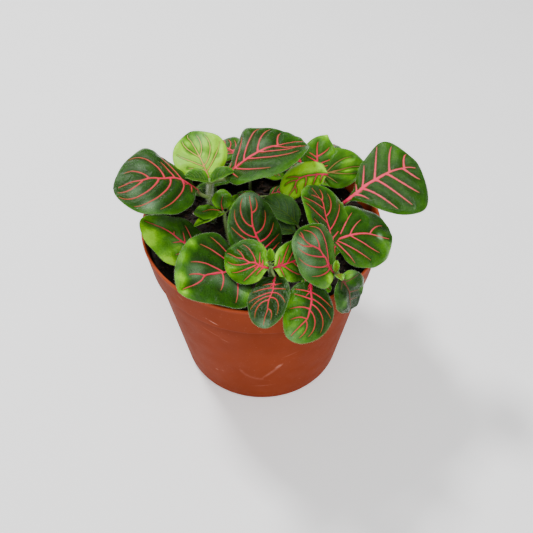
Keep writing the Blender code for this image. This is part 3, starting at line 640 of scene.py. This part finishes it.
        leaf((33, 12, 114), 202, 0, 58, -38, 26, 18, sweep=74, cup=50, fold=-2, blunt=0.47, lop=0.2,
             fresh=0.74, foot=-0.1, puff=0.45, pale=0.4, glow=[(0, 1, 5, 0.4)],
             rib=[(0, 0), (30, 5), (45, 15), (60, 18), (70, 8), (90, 15)],
             left=[(10, 70, 17, 0), (22, 65, 38, 60), (42, 55, 62, 80), (68, 35, 78, 20)],
             right=[(50, 70, 66, 0), (58, 60, 76, 20)]),
        leaf((25, 21, 106), 160, 18, 25, 0, 18, 13, fresh=0.2),
    ]),
    "shoot_middle": dict(thick=1.5, stem=[(17, -11, 68), (18, -10, 90), (19, -9, 97)], leaves=[
        leaf((18, -8, 99), 138, 22, 25, -10, 23, 16, fold=38, cup=20, fresh=0.18,
             bloom=[(0, 0.5, 9, 0.3)], **SMALL),
        leaf((17, -10, 96), 163, 8, 20, -10, 17, 12, fold=38, cup=20, fresh=0.18,
             bloom=[(0, 0.5, 9, 0.3)], **SMALL),
    ]),
    "shoot_low": dict(thick=1.3, stem=[(2, 18, 68), (2, 18, 89), (2, 20, 93)], leaves=[
        leaf((-1, 20, 94), 205, 15, 25, 0, 15, 12),
        leaf((4, 20, 94), 15, 18, 25, 0, 15, 12, pale=0),
        leaf((2, 18, 93), 290, 25, 30, 0, 11, 9, fresh=0.2),
    ]),
    "shoot_rear": dict(thick=1.9, stem=[(-6, 33, 68), (-6, 34, 90), (-7, 38, 100)], leaves=[
        leaf((-3, 42, 102), 62, 15, 55, -8, 32, 27, fresh=0.12, brim=0.25),
        leaf((-11, 40, 104), 136, 3, 42, -6, 28, 23, fresh=0.16, brim=0.25),
        leaf((-12, 37, 98), 200, 8, 35, 0, 22, 18, fresh=0.1, brim=0.25),
        leaf((-2, 36, 99), -12, 9, 30, 0, 18, 15, fresh=0.35),
    ]),
    "shoot_rear_right": dict(thick=1.7, stem=[(24, 34, 68), (24, 35, 90), (25, 37, 97)], leaves=[
        leaf((28, 40, 100), 62, 10, 45, -5, 26, 21, fresh=0.14, brim=0.25),
        leaf((22, 40, 98), 125, 18, 40, 5, 19, 16, fresh=0.12),
        leaf((29, 35, 95), -20, 10, 30, 0, 17, 14, fresh=0.35),
    ]),
    "shoot_rear_left": dict(thick=1.6, stem=[(-38, 22, 68), (-38, 22, 90), (-38, 24, 97)], leaves=[
        leaf((-42, 23, 99), 178, 8, 35, 0, 23, 18, fresh=0.12, brim=0.25),
        leaf((-38, 28, 99), 92, 14, 32, 0, 20, 16, fresh=0.14, brim=0.25),
        leaf((-35, 22, 97), -20, 20, 30, 0, 13, 11, fresh=0.1, blush=0, stout=0.6),
    ]),
}
LEAF_THICK, LEAF_RIM = 0.5, 0.14
PAD_HIGH, PAD_REACH = 1.6, 1.9          # height of a pad where puff is 1, and how far from a vein it rises
RIDGE = 0.35                            # how far a vein stands out of the lower face
RIB_HALF, RIB_GROW = 0.19, 0.0165       # half width of a midrib at its foot, and its growth per mm of blade
SIDE_HALF, SIDE_GROW = 0.078, 0.0066    # the same of a side vein
BLADE_GRIDS = [(34, (92, 61)), (20, (72, 49)), (0, (34, 25))]       # blades longer than so much: their grid
BLADE_MARKS = ("fresh", "bloom", "gap", "rim", "under")
LEAF_DARK, LEAF_DEEP, LEAF_GREEN = (18, 46, 7), (38, 82, 9), (66, 122, 8)
LEAF_BRIGHT, LEAF_PALE = (104, 174, 4), (164, 236, 18)
LEAF_UNDER, LEAF_SHEEN, LEAF_FLECK = (86, 116, 62), (146, 188, 140), (214, 226, 196)
LEAF_EDGE, UNDER_BLOTCH = (112, 146, 84), (128, 148, 92)


def half_width(u, v, row):
    """Half the blade's width, mm: the sine of pi v^k raised to the bluntness, narrowed over the neck."""
    s = np.sin(np.pi * np.clip(v, 0, 1) ** (math.log(0.5) / math.log(row["peak"])))
    k = np.clip(v / row["neck"], 0, 1)
    share = np.clip(s, 0, 1) ** row["blunt"] * (0.3 + 0.7 * k * k * (3 - 2 * k))
    return row["width"] / 2 * share * (1 + row["lop"] * np.sign(u))


def blade_surface(u, v, row):
    """Point and normal of the upper face; u runs -1..1 across, v 0..1 from foot to tip.

    The midrib is a line whose pitch falls evenly by the droop and whose heading turns evenly by the
    sweep. Each half of the blade leaves it folded up and bends down again by the cup, with a low wave
    along the rim.
    """
    def frame_at(t):
        head = np.radians(row["heading"] + row["sweep"] * (t - 0.5))
        pitch = np.radians(row["rise"] - row["droop"] * t)
        along = np.stack([np.cos(pitch) * np.cos(head), np.cos(pitch) * np.sin(head), np.sin(pitch)], -1)
        side = np.stack([np.sin(head), -np.cos(head), np.zeros_like(head)], -1)
        return along, side, np.cross(side, along)

    ts = np.linspace(0, 1, 65)
    step = frame_at(ts)[0]
    run = np.concatenate([[[0, 0, 0]], np.cumsum((step[1:] + step[:-1]) / 2, axis=0)]) / 64 * row["length"]
    rib = np.stack([np.interp(v, ts, run[:, k]) for k in range(3)], -1) + np.array(row["at"], float)
    along, side0, up0 = frame_at(v)
    roll = math.radians(row["roll"])
    side = side0 * math.cos(roll) - up0 * math.sin(roll)
    up = up0 * math.cos(roll) + side0 * math.sin(roll)
    a, fold, cup = np.abs(u), math.radians(row["fold"]), math.radians(row["cup"]) + 1e-6
    half = half_width(u, v, row)
    out = (math.sin(fold) - np.sin(fold - cup * a)) / cup * half * np.sign(u)
    lift = (np.cos(fold - cup * a) - math.cos(fold)) / cup * half
    wave = 0.018 * row["width"] * np.sin(15.0 * v + row["heading"] + 1.3 * (u > 0)) * a ** 3
    lift = lift + wave * np.minimum(1, half / (0.1 * row["width"]))
    tilt = (fold - cup * a) * np.sign(u)
    normal = up * np.cos(tilt)[..., None] - side * np.sin(tilt)[..., None]
    return rib + side * out[..., None] + up * lift[..., None], normal


def bent(t, a, b, leave, arrive):
    """The cubic from a to b, t from 0 to 1, that leaves and arrives with the given slopes:
    (2t^3 - 3t^2 + 1) a + (t^3 - 2t^2 + t) leave + (3t^2 - 2t^3) b + (t^3 - t^2) arrive."""
    return ((2 * t ** 3 - 3 * t ** 2 + 1) * a + (t ** 3 - 2 * t ** 2 + t) * leave
            + (3 * t ** 2 - 2 * t ** 3) * b + (t ** 3 - t ** 2) * arrive)


def wander(v, knots):
    """A smooth line through the knots (place along, place across): cubics whose slopes at each knot are the
    mean of the slopes about it."""
    at, across = np.array(knots, float).T
    slope = np.gradient(across, at)
    k = np.clip(np.searchsorted(at, v) - 1, 0, len(at) - 2)
    span = at[k + 1] - at[k]
    t = np.clip((v - at[k]) / span, 0, 1)
    return bent(t, across[k], across[k + 1], slope[k] * span, slope[k + 1] * span)


def rib_tone(s):
    """The tone along a midrib, s from 0 to 1: 0.85 s^0.6."""
    return 0.85 * s ** 0.6


def vein_lines(row, seed):
    """The leaf's veins as lines over the blade, each with u, v, half width (mm), tone (0 crimson at the
    foot to 1 at the thin ends) and whether it dents the blade.

    The midrib follows its knots. A side vein leaves it at v0 and reaches u1 at v1: u grows evenly with s,
    at first faster by its hook, and v as v0 + (v1 - v0) s^(1 + bow), so it sets out sideways and turns
    toward the tip. It keeps its width for two thirds of its way. Where the row gives no side veins, they
    stand at even steps, shifted a little at random. Short spurs stand by the foot. Widths waver by a
    tenth or two.
    """
    rng = np.random.default_rng(seed)
    size = row["width"]
    foot = row["stout"] * (RIB_HALF + RIB_GROW * size)
    side = row["stout"] * (SIDE_HALF + SIDE_GROW * size)
    lines = []

    def add(u, v, half, tone, dent=True):
        run = np.hypot(np.gradient(u) * size / 2, np.gradient(v) * row["length"]).cumsum()
        waver = 1 + 0.22 * lumps(run, run * 0 + seed, 0.8, seed + len(lines))
        tone = row["tone"] + (1 - row["tone"]) * tone
        lines.append(dict(u=u, v=v, half=half * waver, tone=tone, dent=dent))

    s = np.linspace(0, 1, 14 + int(size))
    v = s * row["ends"]
    thin = 0.5 * side
    add(wander(v, row["rib"]), v, thin + (foot - thin) * (1 - s) ** 0.85, rib_tone(s))
    pairs = 4 if size > 16 else 3 if size > 9 else 2
    for sign, given in ((-1, row["left"]), (1, row["right"])):
        if given is None:
            first = 0.12 + 0.03 * sign + rng.uniform(-0.02, 0.02)
            starts = first + 0.62 * np.arange(pairs) / pairs
            given = [(v0, 0.84 - 0.45 * v0 + rng.uniform(-0.06, 0.04),
                      v0 + 0.30 - 0.12 * v0 + rng.uniform(-0.03, 0.05),
                      rng.uniform(0.2, 0.7), rng.uniform(0, 0.3)) for v0 in starts]
        for v0, u1, v1, *turns in given:
            bow, hook = (*turns, *(0.45, 0.0)[len(turns):])
            s = np.linspace(0, 1, 10 + int(0.8 * size))
            u = wander(v0, row["rib"]) * (1 - s) + sign * u1 * s * (1 + hook * (1 - s))
            along = v0 + (v1 - v0) * s ** (1 + bow)
            taper = (1.1 - 0.5 * s + 0.6 * np.exp(-s / 0.06)) * np.clip((1 - s) / 0.3, 0, 1) ** 0.5
            half = side * taper + 0.05
            start = rib_tone(v0 / row["ends"])
            add(u, along, half, start + (1 - start) * s ** 1.2)
        spurs = int(size / 7 * row["spurs"])
        for k in range(spurs):
            s = np.linspace(0, 1, 7)
            v0 = 0.01 + 0.22 * (k + rng.uniform(0.2, 0.8)) / spurs
            reach = (foot + rng.uniform(0.4, 1.6)) / (size / 2)
            add(sign * reach * s, v0 + 0.45 * reach * s ** 1.4, 0.26 * (1 - s) ** 0.5 + 0.05, 0.2 + 0.2 * s,
                dent=False)
    return lines


def apart(x, y, lines, row):
    """Distance (mm) from flat points of the blade to the rim of the nearest vein that dents it."""
    best = np.full(np.shape(x), 99.0)
    for line in lines:
        if not line["dent"]:
            continue
        lx, ly = line["u"] * half_width(line["u"], line["v"], row), line["v"] * row["length"]
        ax, ay, bx, by = lx[:-1], ly[:-1], lx[1:], ly[1:]
        dx, dy = bx - ax, by - ay
        px, py = x[..., None] - ax, y[..., None] - ay
        t = np.clip((px * dx + py * dy) / (dx * dx + dy * dy + 1e-9), 0, 1)
        width = line["half"][:-1] * (1 - t) + line["half"][1:] * t
        gap = np.hypot(px - t * dx, py - t * dy) - width
        best = np.minimum(best, gap.min(-1))
    return np.maximum(best, 0)


def relief(u, v, row, lines):
    """Height of the upper face over the plain surface, and the gap to the veins and to the rim, all in mm:
    pads that rise as 1 - exp(-(gap / reach)^2) between the veins and sink to nothing at the rim, with slow
    dents over them."""
    half = half_width(u, v, row)
    x, y = u * half, v * row["length"]
    gap, rim = apart(x, y, lines, row), (1 - np.abs(u)) * half
    ease = 1 - np.exp(-(rim / 1.6) ** 2)
    seed = int(abs(row["heading"]) + 7 * row["length"])
    dents = (0.14 * lumps(x, y, 5.0, seed) + 0.08 * lumps(x, y, 2.1, seed + 1)
             + 0.03 * lumps(x, y, 1.1, seed + 3))
    pads = PAD_HIGH * row["puff"] * (1 - np.exp(-(gap / PAD_REACH) ** 2))
    return ease * (pads * (1 + 0.35 * lumps(x, y, 3.0, seed + 2)) + dents * (0.5 + row["puff"])), gap, rim


def patched(u, v, row, patches):
    """The sum of the patches, each its amount times exp(-(distance / reach)^2) on the flat blade."""
    x, y = u * half_width(u, v, row), v * row["length"]
    total = np.zeros(np.shape(x))
    for across, along, reach, amount in patches:
        middle = across * half_width(np.array(across), np.array(along), row), along * row["length"]
        total = total + amount * np.exp(-((x - middle[0]) ** 2 + (y - middle[1]) ** 2) / reach ** 2)
    return total


def blade(row, lines):
    """A leaf blade: the upper face on a fine grid, the lower face under it, joined along the rim and
    drawn to one point at foot and tip. Marks: fresh, the patches of painted sheen and white flecks, gap, rim
    and under, which the leaf finish reads."""
    rows, cols = next(grid for longer, grid in BLADE_GRIDS if row["length"] > longer)
    v = ((1 - np.cos(np.pi * np.linspace(0, 1, rows))) / 2)[1:-1, None]
    faces = []
    for count, under in ((cols, False), (cols // 2 + 1, True)):
        u = np.linspace(1, -1, count) if under else np.linspace(-1, 1, count)
        u, vv = np.broadcast_arrays(u[None], v)
        point, normal = blade_surface(u, vv, row)
        height, gap, rim = relief(u, vv, row, lines)
        if under:
            body = LEAF_RIM + (LEAF_THICK - LEAF_RIM) * (1 - np.exp(-(rim / 1.2) ** 2))
            height = height - body - RIDGE * np.exp(-(gap / 0.6) ** 2) * (1 - np.exp(-(rim / 2) ** 2))
        # fresh rises by a tenth from the veins to the middle of each pad: painted shade of the relief in the
        # furrows.
        fresh = (row["fresh"] + 0.1 * np.minimum(gap / 2.5, 1) - 0.05
                 + row["foot"] * np.exp(-(vv / 0.32) ** 2) + row["brim"] * np.exp(-rim / 2.2)
                 + patched(u, vv, row, row["glow"]))
        faces.append((point + normal * height[..., None], fresh, patched(u, vv, row, row["bloom"]), gap, rim,
                      np.full(u.shape, float(under))))
    rings, *kept = [np.concatenate(pair, axis=1) for pair in zip(*faces)]
    ends, normal = blade_surface(np.zeros(2), np.array([0.0, 1.0]), row)
    ends = ends - normal * 0.1
    form = ringed(rings, ends[0], ends[1])
    for name, values in zip(BLADE_MARKS, kept):
        form["marks"][name] = np.concatenate([values.ravel(), [values[0].mean(), values[-1].mean()]])
    return form


def leaf_finish():
    """A soft leaf: dark green to yellow-green by its freshness, lighter in the middle of its pads and darker
    by the veins as painted shade, mottled, with a fine net of small veins, grey-green patches of painted
    sheen, white flecks, a pale rim of hairs with their highlight painted in, and a grey-green lower face. The
    upper face is satin."""
    made, tree, where = new_finish("leaf_velvet", Sheen_Weight=0.02, Sheen_Roughness=0.4, IOR=1.45,
                                   Specular_IOR_Level=0.2)
    fresh, bloom, gap, rim, under = [read(tree, mark) for mark in BLADE_MARKS]

    blotch = times(tree, sums(tree, "MULTIPLY_ADD", grain(tree, where, 3.6, 4), 0.6, -0.3),
                   graded(tree, fresh, (0.05, 0.4), (0.45, 1.0)))
    speck = sums(tree, "MULTIPLY_ADD", grain(tree, where, 0.7, 3), 0.26, -0.13)
    # Painted shade of the relief: darker in the furrows by the veins, lighter in the middle of the pads.
    pad_shading = times(tree, fresh, graded(tree, gap, (0.1, 0.76), (2.4, 1.28)))
    tone = sums(tree, "ADD", sums(tree, "ADD", pad_shading, blotch), speck)
    upper = graded(tree, tone, (0.0, LEAF_DARK), (0.2, LEAF_DEEP), (0.45, LEAF_GREEN), (0.75, LEAF_BRIGHT),
                   (1.0, LEAF_PALE))
    cells = node(tree, "TexVoronoi", dict(feature="DISTANCE_TO_EDGE"), Scale=1 / (1.1 * MM), Vector=where)
    net = cells.outputs["Distance"]
    net_share = sums(tree, "MULTIPLY_ADD", fresh, 0.12, 0.05, clamp=True)
    small_veins = times(tree, graded(tree, net, (0.0, 1.0), (0.1, 0.0)), net_share)
    upper = mixed(tree, small_veins, upper, LEAF_BRIGHT)
    close = times(tree, graded(tree, gap, (0.0, 1.0), (0.8, 0.0)),
                  graded(tree, fresh, (0.3, 0.22), (0.9, 0.0)))
    upper = mixed(tree, close, upper, LEAF_GREEN)
    # Painted sheen: grey-green patches where the downy pads catch the light, broken up by a fine grain; above
    # 1 the mark is a white fleck.
    sheen_grain = graded(tree, grain(tree, where, 0.45, 3), (0.3, 0.35), (0.65, 1.0))
    upper = mixed(tree, times(tree, bloom, sheen_grain, clamp=True), upper, LEAF_SHEEN)
    upper = mixed(tree, graded(tree, bloom, (1.1, 0.0), (1.5, 1.0)), upper, LEAF_FLECK)
    # A pale rim: the pale hairs along the margin, with the highlight they catch painted in.
    upper = mixed(tree, times(tree, graded(tree, rim, (0.0, 1.0), (0.4, 0.0)), 0.45), upper, LEAF_EDGE)
    lower = mixed(tree, blotch, LEAF_UNDER, UNDER_BLOTCH)

    rough = sums(tree, "ADD", drift(tree, where, 2.4, 3, 0.15, 0.28), times(tree, under, 0.25))
    rise = sums(tree, "ADD", times(tree, graded(tree, net, (0.0, 0.0), (0.35, 1.0)), 0.6),
                times(tree, grain(tree, where, 0.3, 2), 0.6))
    return coated(made, mixed(tree, under, upper, lower), rough, 0.7, 0.0003, rise)


blade_paint = leaf_finish()
leaf_number = 0
for shoot, plan in SHOOTS.items():
    for row in plan["leaves"]:
        row["lines"] = vein_lines(row, 40 + leaf_number)
        leaf_number += 1
    blades = knit(shoot + "_blades", [blade(row, row["lines"]) for row in plan["leaves"]], blade_paint)
    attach(blades, "root")
    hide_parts(shoot)


# ==== The veins =======================================================================================
# The coloured veins that give the plant its name: crimson where they leave the stalk, pink on the blade and
# coral at their thin ends. They lie in the dents between the pads, a tenth of a millimetre proud.
VEIN_CRIMSON, VEIN_ROSE, VEIN_PINK, VEIN_CORAL = (138, 3, 48), (204, 3, 66), (232, 8, 76), (178, 64, 42)
VEIN_PALE, VEIN_CREAM, VEIN_GREEN, VEIN_PLUM = (255, 78, 112), (232, 190, 98), (92, 132, 36), (84, 24, 48)


def unit(ways):
    """Each row brought to length 1."""
    return ways / (np.linalg.norm(ways, axis=1)[:, None] + 1e-9)


def ended(values, around):
    """A value for each ring given to all its points, and the first and last to the two end points."""
    return np.concatenate([np.repeat(values, around), [values[0], values[-1]]])


def vein(line, row):
    """A flat half-round cord along its line: rings of six points, three of them proud of the blade."""
    half = line["half"]
    point, normal = blade_surface(line["u"], line["v"], row)
    height = relief(line["u"], line["v"], row, row["lines"])[0]
    way = unit(np.gradient(point, axis=0))
    across = unit(np.cross(way, normal))
    crown = 0.05 + 0.10 * np.minimum(half, 1.0)
    ring = np.array([(-1.0, -0.5), (-0.55, 0.75), (0.0, 1.0), (0.55, 0.75), (1.0, -0.5), (0.0, -1.6)])
    middle = point + normal * (height + 0.03)[:, None]
    rings = (middle[:, None] + across[:, None] * (half[:, None] * ring[:, 0])[..., None]
             + normal[:, None] * (crown[:, None] * ring[:, 1])[..., None])
    form = ringed(rings, middle[0] - way[0] * 0.1, middle[-1] + way[-1] * 0.2)
    tone = np.clip(line["tone"], 0, 1)
    core = np.broadcast_to(np.array([0.0, 0.8, 1.0, 0.8, 0.0, 0.0]), rings.shape[:2])
    form["marks"] = dict(tone=ended(tone, 6), core=np.concatenate([core.ravel(), [0.5, 0.5]]),
                         pale=row["pale"], blush=row["blush"])
    return form


def vein_finish():
    """Soft tissue: crimson to coral by the tone along the vein, paler in the middle of pale veins, cream
    in the palest and plum where pale is below nothing, green where a leaf has no blush, and a little
    uneven."""
    made, tree, where = new_finish("vein_rose", Sheen_Weight=0.02, IOR=1.42, Specular_IOR_Level=0.12)
    pale = read(tree, "pale")
    uneven = sums(tree, "MULTIPLY_ADD", grain(tree, where, 1.6, 3), 0.3, -0.15)
    tone = sums(tree, "ADD", read(tree, "tone"), uneven)
    colour = graded(tree, tone, (0.0, VEIN_CRIMSON), (0.2, VEIN_ROSE), (0.48, VEIN_PINK), (1.0, VEIN_CORAL))
    middle = sums(tree, "MULTIPLY_ADD", read(tree, "core"), 0.6, 0.4)
    early = times(tree, sums(tree, "MAXIMUM", pale, 0.0), graded(tree, tone, (0.05, 0.0), (0.35, 1.0)))
    colour = mixed(tree, times(tree, early, middle), colour, VEIN_PALE)
    cream = times(tree, graded(tree, pale, (0.85, 0.0), (1.0, 0.9)),
                  graded(tree, tone, (0.1, 0.2), (0.5, 1.0)))
    colour = mixed(tree, cream, colour, VEIN_CREAM)
    colour = mixed(tree, times(tree, pale, -1.0, clamp=True), colour, VEIN_PLUM)
    colour = mixed(tree, read(tree, "blush"), VEIN_GREEN, colour)
    return coated(made, colour, drift(tree, where, 0.9, 2, 0.42, 0.6), 0.35, 0.0001,
                  grain(tree, where, 0.4, 2))


vein_paint = vein_finish()
for shoot, plan in SHOOTS.items():
    cords = [vein(line, row) for row in plan["leaves"] for line in row["lines"]]
    veins = knit(shoot + "_veins", cords, vein_paint)
    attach(veins, "root")
    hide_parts(shoot)


# ==== The stems and stalks ============================================================================
# Soft green stems, a little swollen where a pair of leaves sits, rooted in the peat; each leaf hangs on a
# short stalk that runs on under the blade as its midrib.
STEM_FOOT = 74.0
STEM_TAPER = 0.28                       # how much thinner a stem is at its top
KNOB, KNOB_REACH = 0.18, 1.8            # how far a stem swells at a joint, and over what length
STEM_PALE, STEM_GREEN, STEM_BROWN, STEM_ROSE = (132, 158, 92), (78, 108, 36), (58, 46, 32), (112, 26, 40)


def threaded(points, longest=0.8):
    """A smooth line through the points: cubics whose slope at each is half the step past its neighbours."""
    p = np.array(points, float)
    ends = np.vstack([2 * p[0] - p[1], p, 2 * p[-1] - p[-2]])
    slope = (ends[2:] - ends[:-2]) / 2
    spans = []
    for a, b, m, n in zip(p[:-1], p[1:], slope[:-1], slope[1:]):
        t = np.linspace(0, 1, max(3, int(np.linalg.norm(b - a) / longest)))[:-1, None]
        spans.append(bent(t, a, b, m, n))
    return np.vstack(spans + [p[-1:]])


def spokes(way, ref, around):
    """Even steps round each way, at right angles to it: cos(a) side + sin(a) other, where side is the way
    crossed with ref, and other the way crossed with side."""
    side = unit(np.cross(way, ref))
    other = np.cross(way, side)
    a = angles(around)
    return side[:, None] * np.cos(a)[:, None] + other[:, None] * np.sin(a)[:, None]


def rod(line, radius, around, rise):
    """A closed round rod along the line, its radius given at each point; rise marks how far up it is."""
    way = unit(np.gradient(line, axis=0))
    ref = np.array([1.0, 0.0, 0.0]) if abs(way[:, 0]).max() < 0.8 else np.array([0.0, 1.0, 0.0])
    rings = line[:, None] + radius[:, None, None] * spokes(way, ref, around)
    form = ringed(rings, line[0] - way[0] * radius[0] * 0.3, line[-1] + way[-1] * radius[-1] * 0.5)
    form["marks"] = dict(rise=ended(rise, around))
    return form


def stem_points(plan):
    """Upright in the peat, then bent through the given points."""
    points = np.array(plan["stem"], float)
    foot, low = points[0].copy(), points[0].copy()
    foot[2], low[2] = STEM_FOOT, SOIL_Z + 1.5
    return np.vstack([foot, low, points[1:]])


def stalk_points(row, stem):
    """From the nearest point of the stem to the foot of the blade, and on under its midrib."""
    at = np.array(row["at"], float)
    near = stem[2:][np.argmin(np.linalg.norm(stem[2:] - at - np.array([0, 0, -3.0]), axis=1))]
    rib, normal = blade_surface(np.zeros(3), np.array([0.04, 0.3, 0.75]), row)
    under = rib - normal * np.array([0.95, 0.75, 0.6])[:, None]
    middle = near * 0.45 + under[0] * 0.55 - np.array([0, 0, 0.25 * np.linalg.norm(near - under[0]) * 0.3])
    return np.vstack([near, middle, under])


def stem_finish():
    """Juicy green stem: brown at the peat, green above, rosy at the leaf stalks."""
    made, tree, where = new_finish("stem_downy", Sheen_Weight=0.08, Sheen_Roughness=0.4, IOR=1.42,
                                   Specular_IOR_Level=0.2)
    uneven = sums(tree, "MULTIPLY_ADD", grain(tree, where, 2.0, 3), 0.4, -0.2)
    rise = sums(tree, "ADD", read(tree, "rise"), uneven)
    colour = graded(tree, rise, (0.0, STEM_BROWN), (0.3, STEM_GREEN), (0.7, STEM_PALE), (1.0, STEM_ROSE))
    return coated(made, colour, drift(tree, where, 1.2, 2, 0.42, 0.62), 0.4, 0.0002,
                  grain(tree, where, 0.6, 3))


stem_paint = stem_finish()
for shoot, plan in SHOOTS.items():
    corner_points = stem_points(plan)
    line = threaded(corner_points)
    run = np.linspace(0, 1, len(line))
    joints = np.linalg.norm(line[:, None] - corner_points[None, 3:], axis=2).min(1)
    swell = 1 + plan.get("knob", KNOB) * np.exp(-(joints / KNOB_REACH) ** 2)
    radius = plan["thick"] / 2 * (1 - STEM_TAPER * run) * swell
    forms = [rod(line, radius, 14, 0.12 + 0.6 * run)]
    for row in plan["leaves"]:
        stalk = threaded(stalk_points(row, corner_points), 0.6)
        w = min(1.0, 0.35 + row["width"] / 50)
        along = np.linspace(0, 1, len(stalk))
        forms.append(rod(stalk, np.interp(along, [0, 0.2, 0.45, 1], [1.0, 0.85, 0.6, 0.12]) * w, 10,
                         np.interp(along, [0, 0.12, 0.3], [0.55, 0.7, 0.7 + 0.3 * row["blush"]])))
    stems = knit(shoot + "_stems", forms, stem_paint)
    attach(stems, "root")
    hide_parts(shoot)


# ==== The down ========================================================================================
# Short white hairs: a fringe along the rim of every leaf and a coat on the stems, sparse on most and woolly
# on the stoutest.
HAIR_STEP, HAIR_LONG, HAIR_THICK = 0.38, 0.6, 0.032
COAT, FUR = 260, 1.0                    # hairs on a plain stem, and how much longer they are than plain
DOWN_GREEN, DOWN_WHITE = (170, 186, 150), (222, 226, 208)


def bristles(roots, ways, long):
    """Closed three-sided spikes: a small triangle at each root and one point at its end."""
    ways = unit(ways)
    ref = np.where(np.abs(ways[:, 2:]) < 0.8, np.array([[0.0, 0.0, 1.0]]), np.array([[1.0, 0.0, 0.0]]))
    base = roots[:, None] + HAIR_THICK * spokes(ways, ref, 3)
    points = np.concatenate([base, (roots + ways * long[:, None])[:, None]], 1)
    return copies(points, np.array([(0, 1, 3), (1, 2, 3), (2, 0, 3), (0, 2, 1)]))


def fringe(row, rng):
    """Hairs along both rims, evenly spaced, leaning out and a little up."""
    v = np.linspace(0.02, 0.995, 400)
    forms = []
    for sign in (-1.0, 1.0):
        run = lengths(blade_surface(np.full(400, sign), v, row)[0])
        at = np.interp(np.arange(0.2, run[-1], HAIR_STEP), run, v)
        at = np.clip(at + rng.uniform(-0.002, 0.002, len(at)), 0.01, 0.999)
        root, normal = blade_surface(np.full(len(at), sign), at, row)
        out = unit(root - blade_surface(np.full(len(at), 0.9 * sign), at, row)[0])
        way = out + normal * rng.uniform(-0.2, 0.6, (len(at), 1)) + rng.normal(0, 0.25, (len(at), 3))
        forms.append(bristles(root - normal * 0.06, way, rng.uniform(0.5, 1.1, len(at)) * HAIR_LONG))
    return forms


def coat(line, radius, rng, count, fur):
    """Hairs standing off a stem at random places, longer by fur."""
    k = rng.integers(2, len(line) - 1, count)
    way = rng.normal(0, 1, (count, 3))
    along = unit(line[k] - line[k - 1])
    way = unit(way - along * (way * along).sum(1)[:, None])
    return bristles(line[k] + way * radius * 0.9, way, rng.uniform(0.4, 0.9, count) * fur)


def down_finish():
    """White hairs, greener in random patches."""
    made, tree, where = new_finish("down_white", Roughness=0.6)
    colour = graded(tree, grain(tree, where, 1.5, 2), (0.3, DOWN_GREEN), (0.7, DOWN_WHITE))
    tree.links.new(colour, tree.nodes["Principled BSDF"].inputs["Base Color"])
    return made


down_paint = down_finish()
hair_rng = np.random.default_rng(90)
for shoot, plan in SHOOTS.items():
    forms = [f for row in plan["leaves"] for f in fringe(row, hair_rng)]
    line = threaded(stem_points(plan))
    above = line[line[:, 2] > SOIL_Z]
    forms.append(coat(above, plan["thick"] * 0.42, hair_rng, plan.get("coat", COAT), plan.get("fur", FUR)))
    hairs = knit(shoot + "_down", forms, down_paint)
    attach(hairs, "root")
    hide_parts(shoot)


# ==== The floor, the light and the camera =============================================================
# A white table in studio light: a small bright lamp above and behind to the left, which gives the leaves
# their shine, a broad one overhead, and a broad fill in front.
FLOOR_HALF, FLOOR_Z = 3.0, -0.0001      # metres
LAMP_AIM = (0, 0, 0.08)
floor_corners = np.array([(-1, -1, 0), (1, -1, 0), (1, 1, 0), (-1, 1, 0)]) * FLOOR_HALF + (0, 0, FLOOR_Z)
floor_mesh = bpy.data.meshes.new("floor")
floor_mesh.from_pydata(floor_corners.tolist(), [], [(0, 1, 2, 3)])
floor = bpy.data.objects.new("floor", floor_mesh)
bpy.context.scene.collection.objects.link(floor)
floor_paint, floor_tree, floor_place = new_finish("floor_white", Roughness=0.7, Specular_IOR_Level=0.1,
                                                  Emission_Color=(1, 1, 1, 1), Emission_Strength=0.45)
tint = drift(floor_tree, floor_place, 60, 2, 0.93, 0.95)
floor_tree.links.new(tint, floor_tree.nodes["Principled BSDF"].inputs["Base Color"])
floor_mesh.materials.append(floor_paint)


def lamp(name, place, size, watts):
    """A square area light at the place, turned to the middle of the plant."""
    data = bpy.data.lights.new(name, "AREA")
    data.shape, data.size, data.energy = "SQUARE", size, watts
    light = bpy.data.objects.new(name, data)
    bpy.context.scene.collection.objects.link(light)
    light.location = place
    x, y, z = np.array(LAMP_AIM) - np.array(place)
    light.rotation_euler = (math.acos(-z / math.hypot(x, y, z)), 0, math.atan2(y, x) - math.pi / 2)


lamp("sky_light", (-0.45, 0.45, 1.0), 0.18, 13.5)
lamp("over_light", (0.15, -0.5, 1.1), 0.6, 6)
lamp("front_fill", (0.3, -1.1, 0.45), 0.9, 6)
world = bpy.data.worlds.new("overcast")
world.use_nodes = True
world.node_tree.nodes["Background"].inputs["Color"].default_value = (1, 1, 1, 1)
world.node_tree.nodes["Background"].inputs["Strength"].default_value = 0.3
bpy.context.scene.world = world

CAMERA_AT, CAMERA_DOWN, CAMERA_RIGHT = (0, -0.27364, 0.35287), 46.85, 0.52      # metres, degrees
camera_data = bpy.data.cameras.new("camera")
camera_data.lens, camera_data.sensor_width = 50.66, 36
camera = bpy.data.objects.new("camera", camera_data)
bpy.context.scene.collection.objects.link(camera)
camera.location = CAMERA_AT
camera.rotation_euler = (math.radians(90 - CAMERA_DOWN), 0, math.radians(-CAMERA_RIGHT))
bpy.context.scene.camera = camera
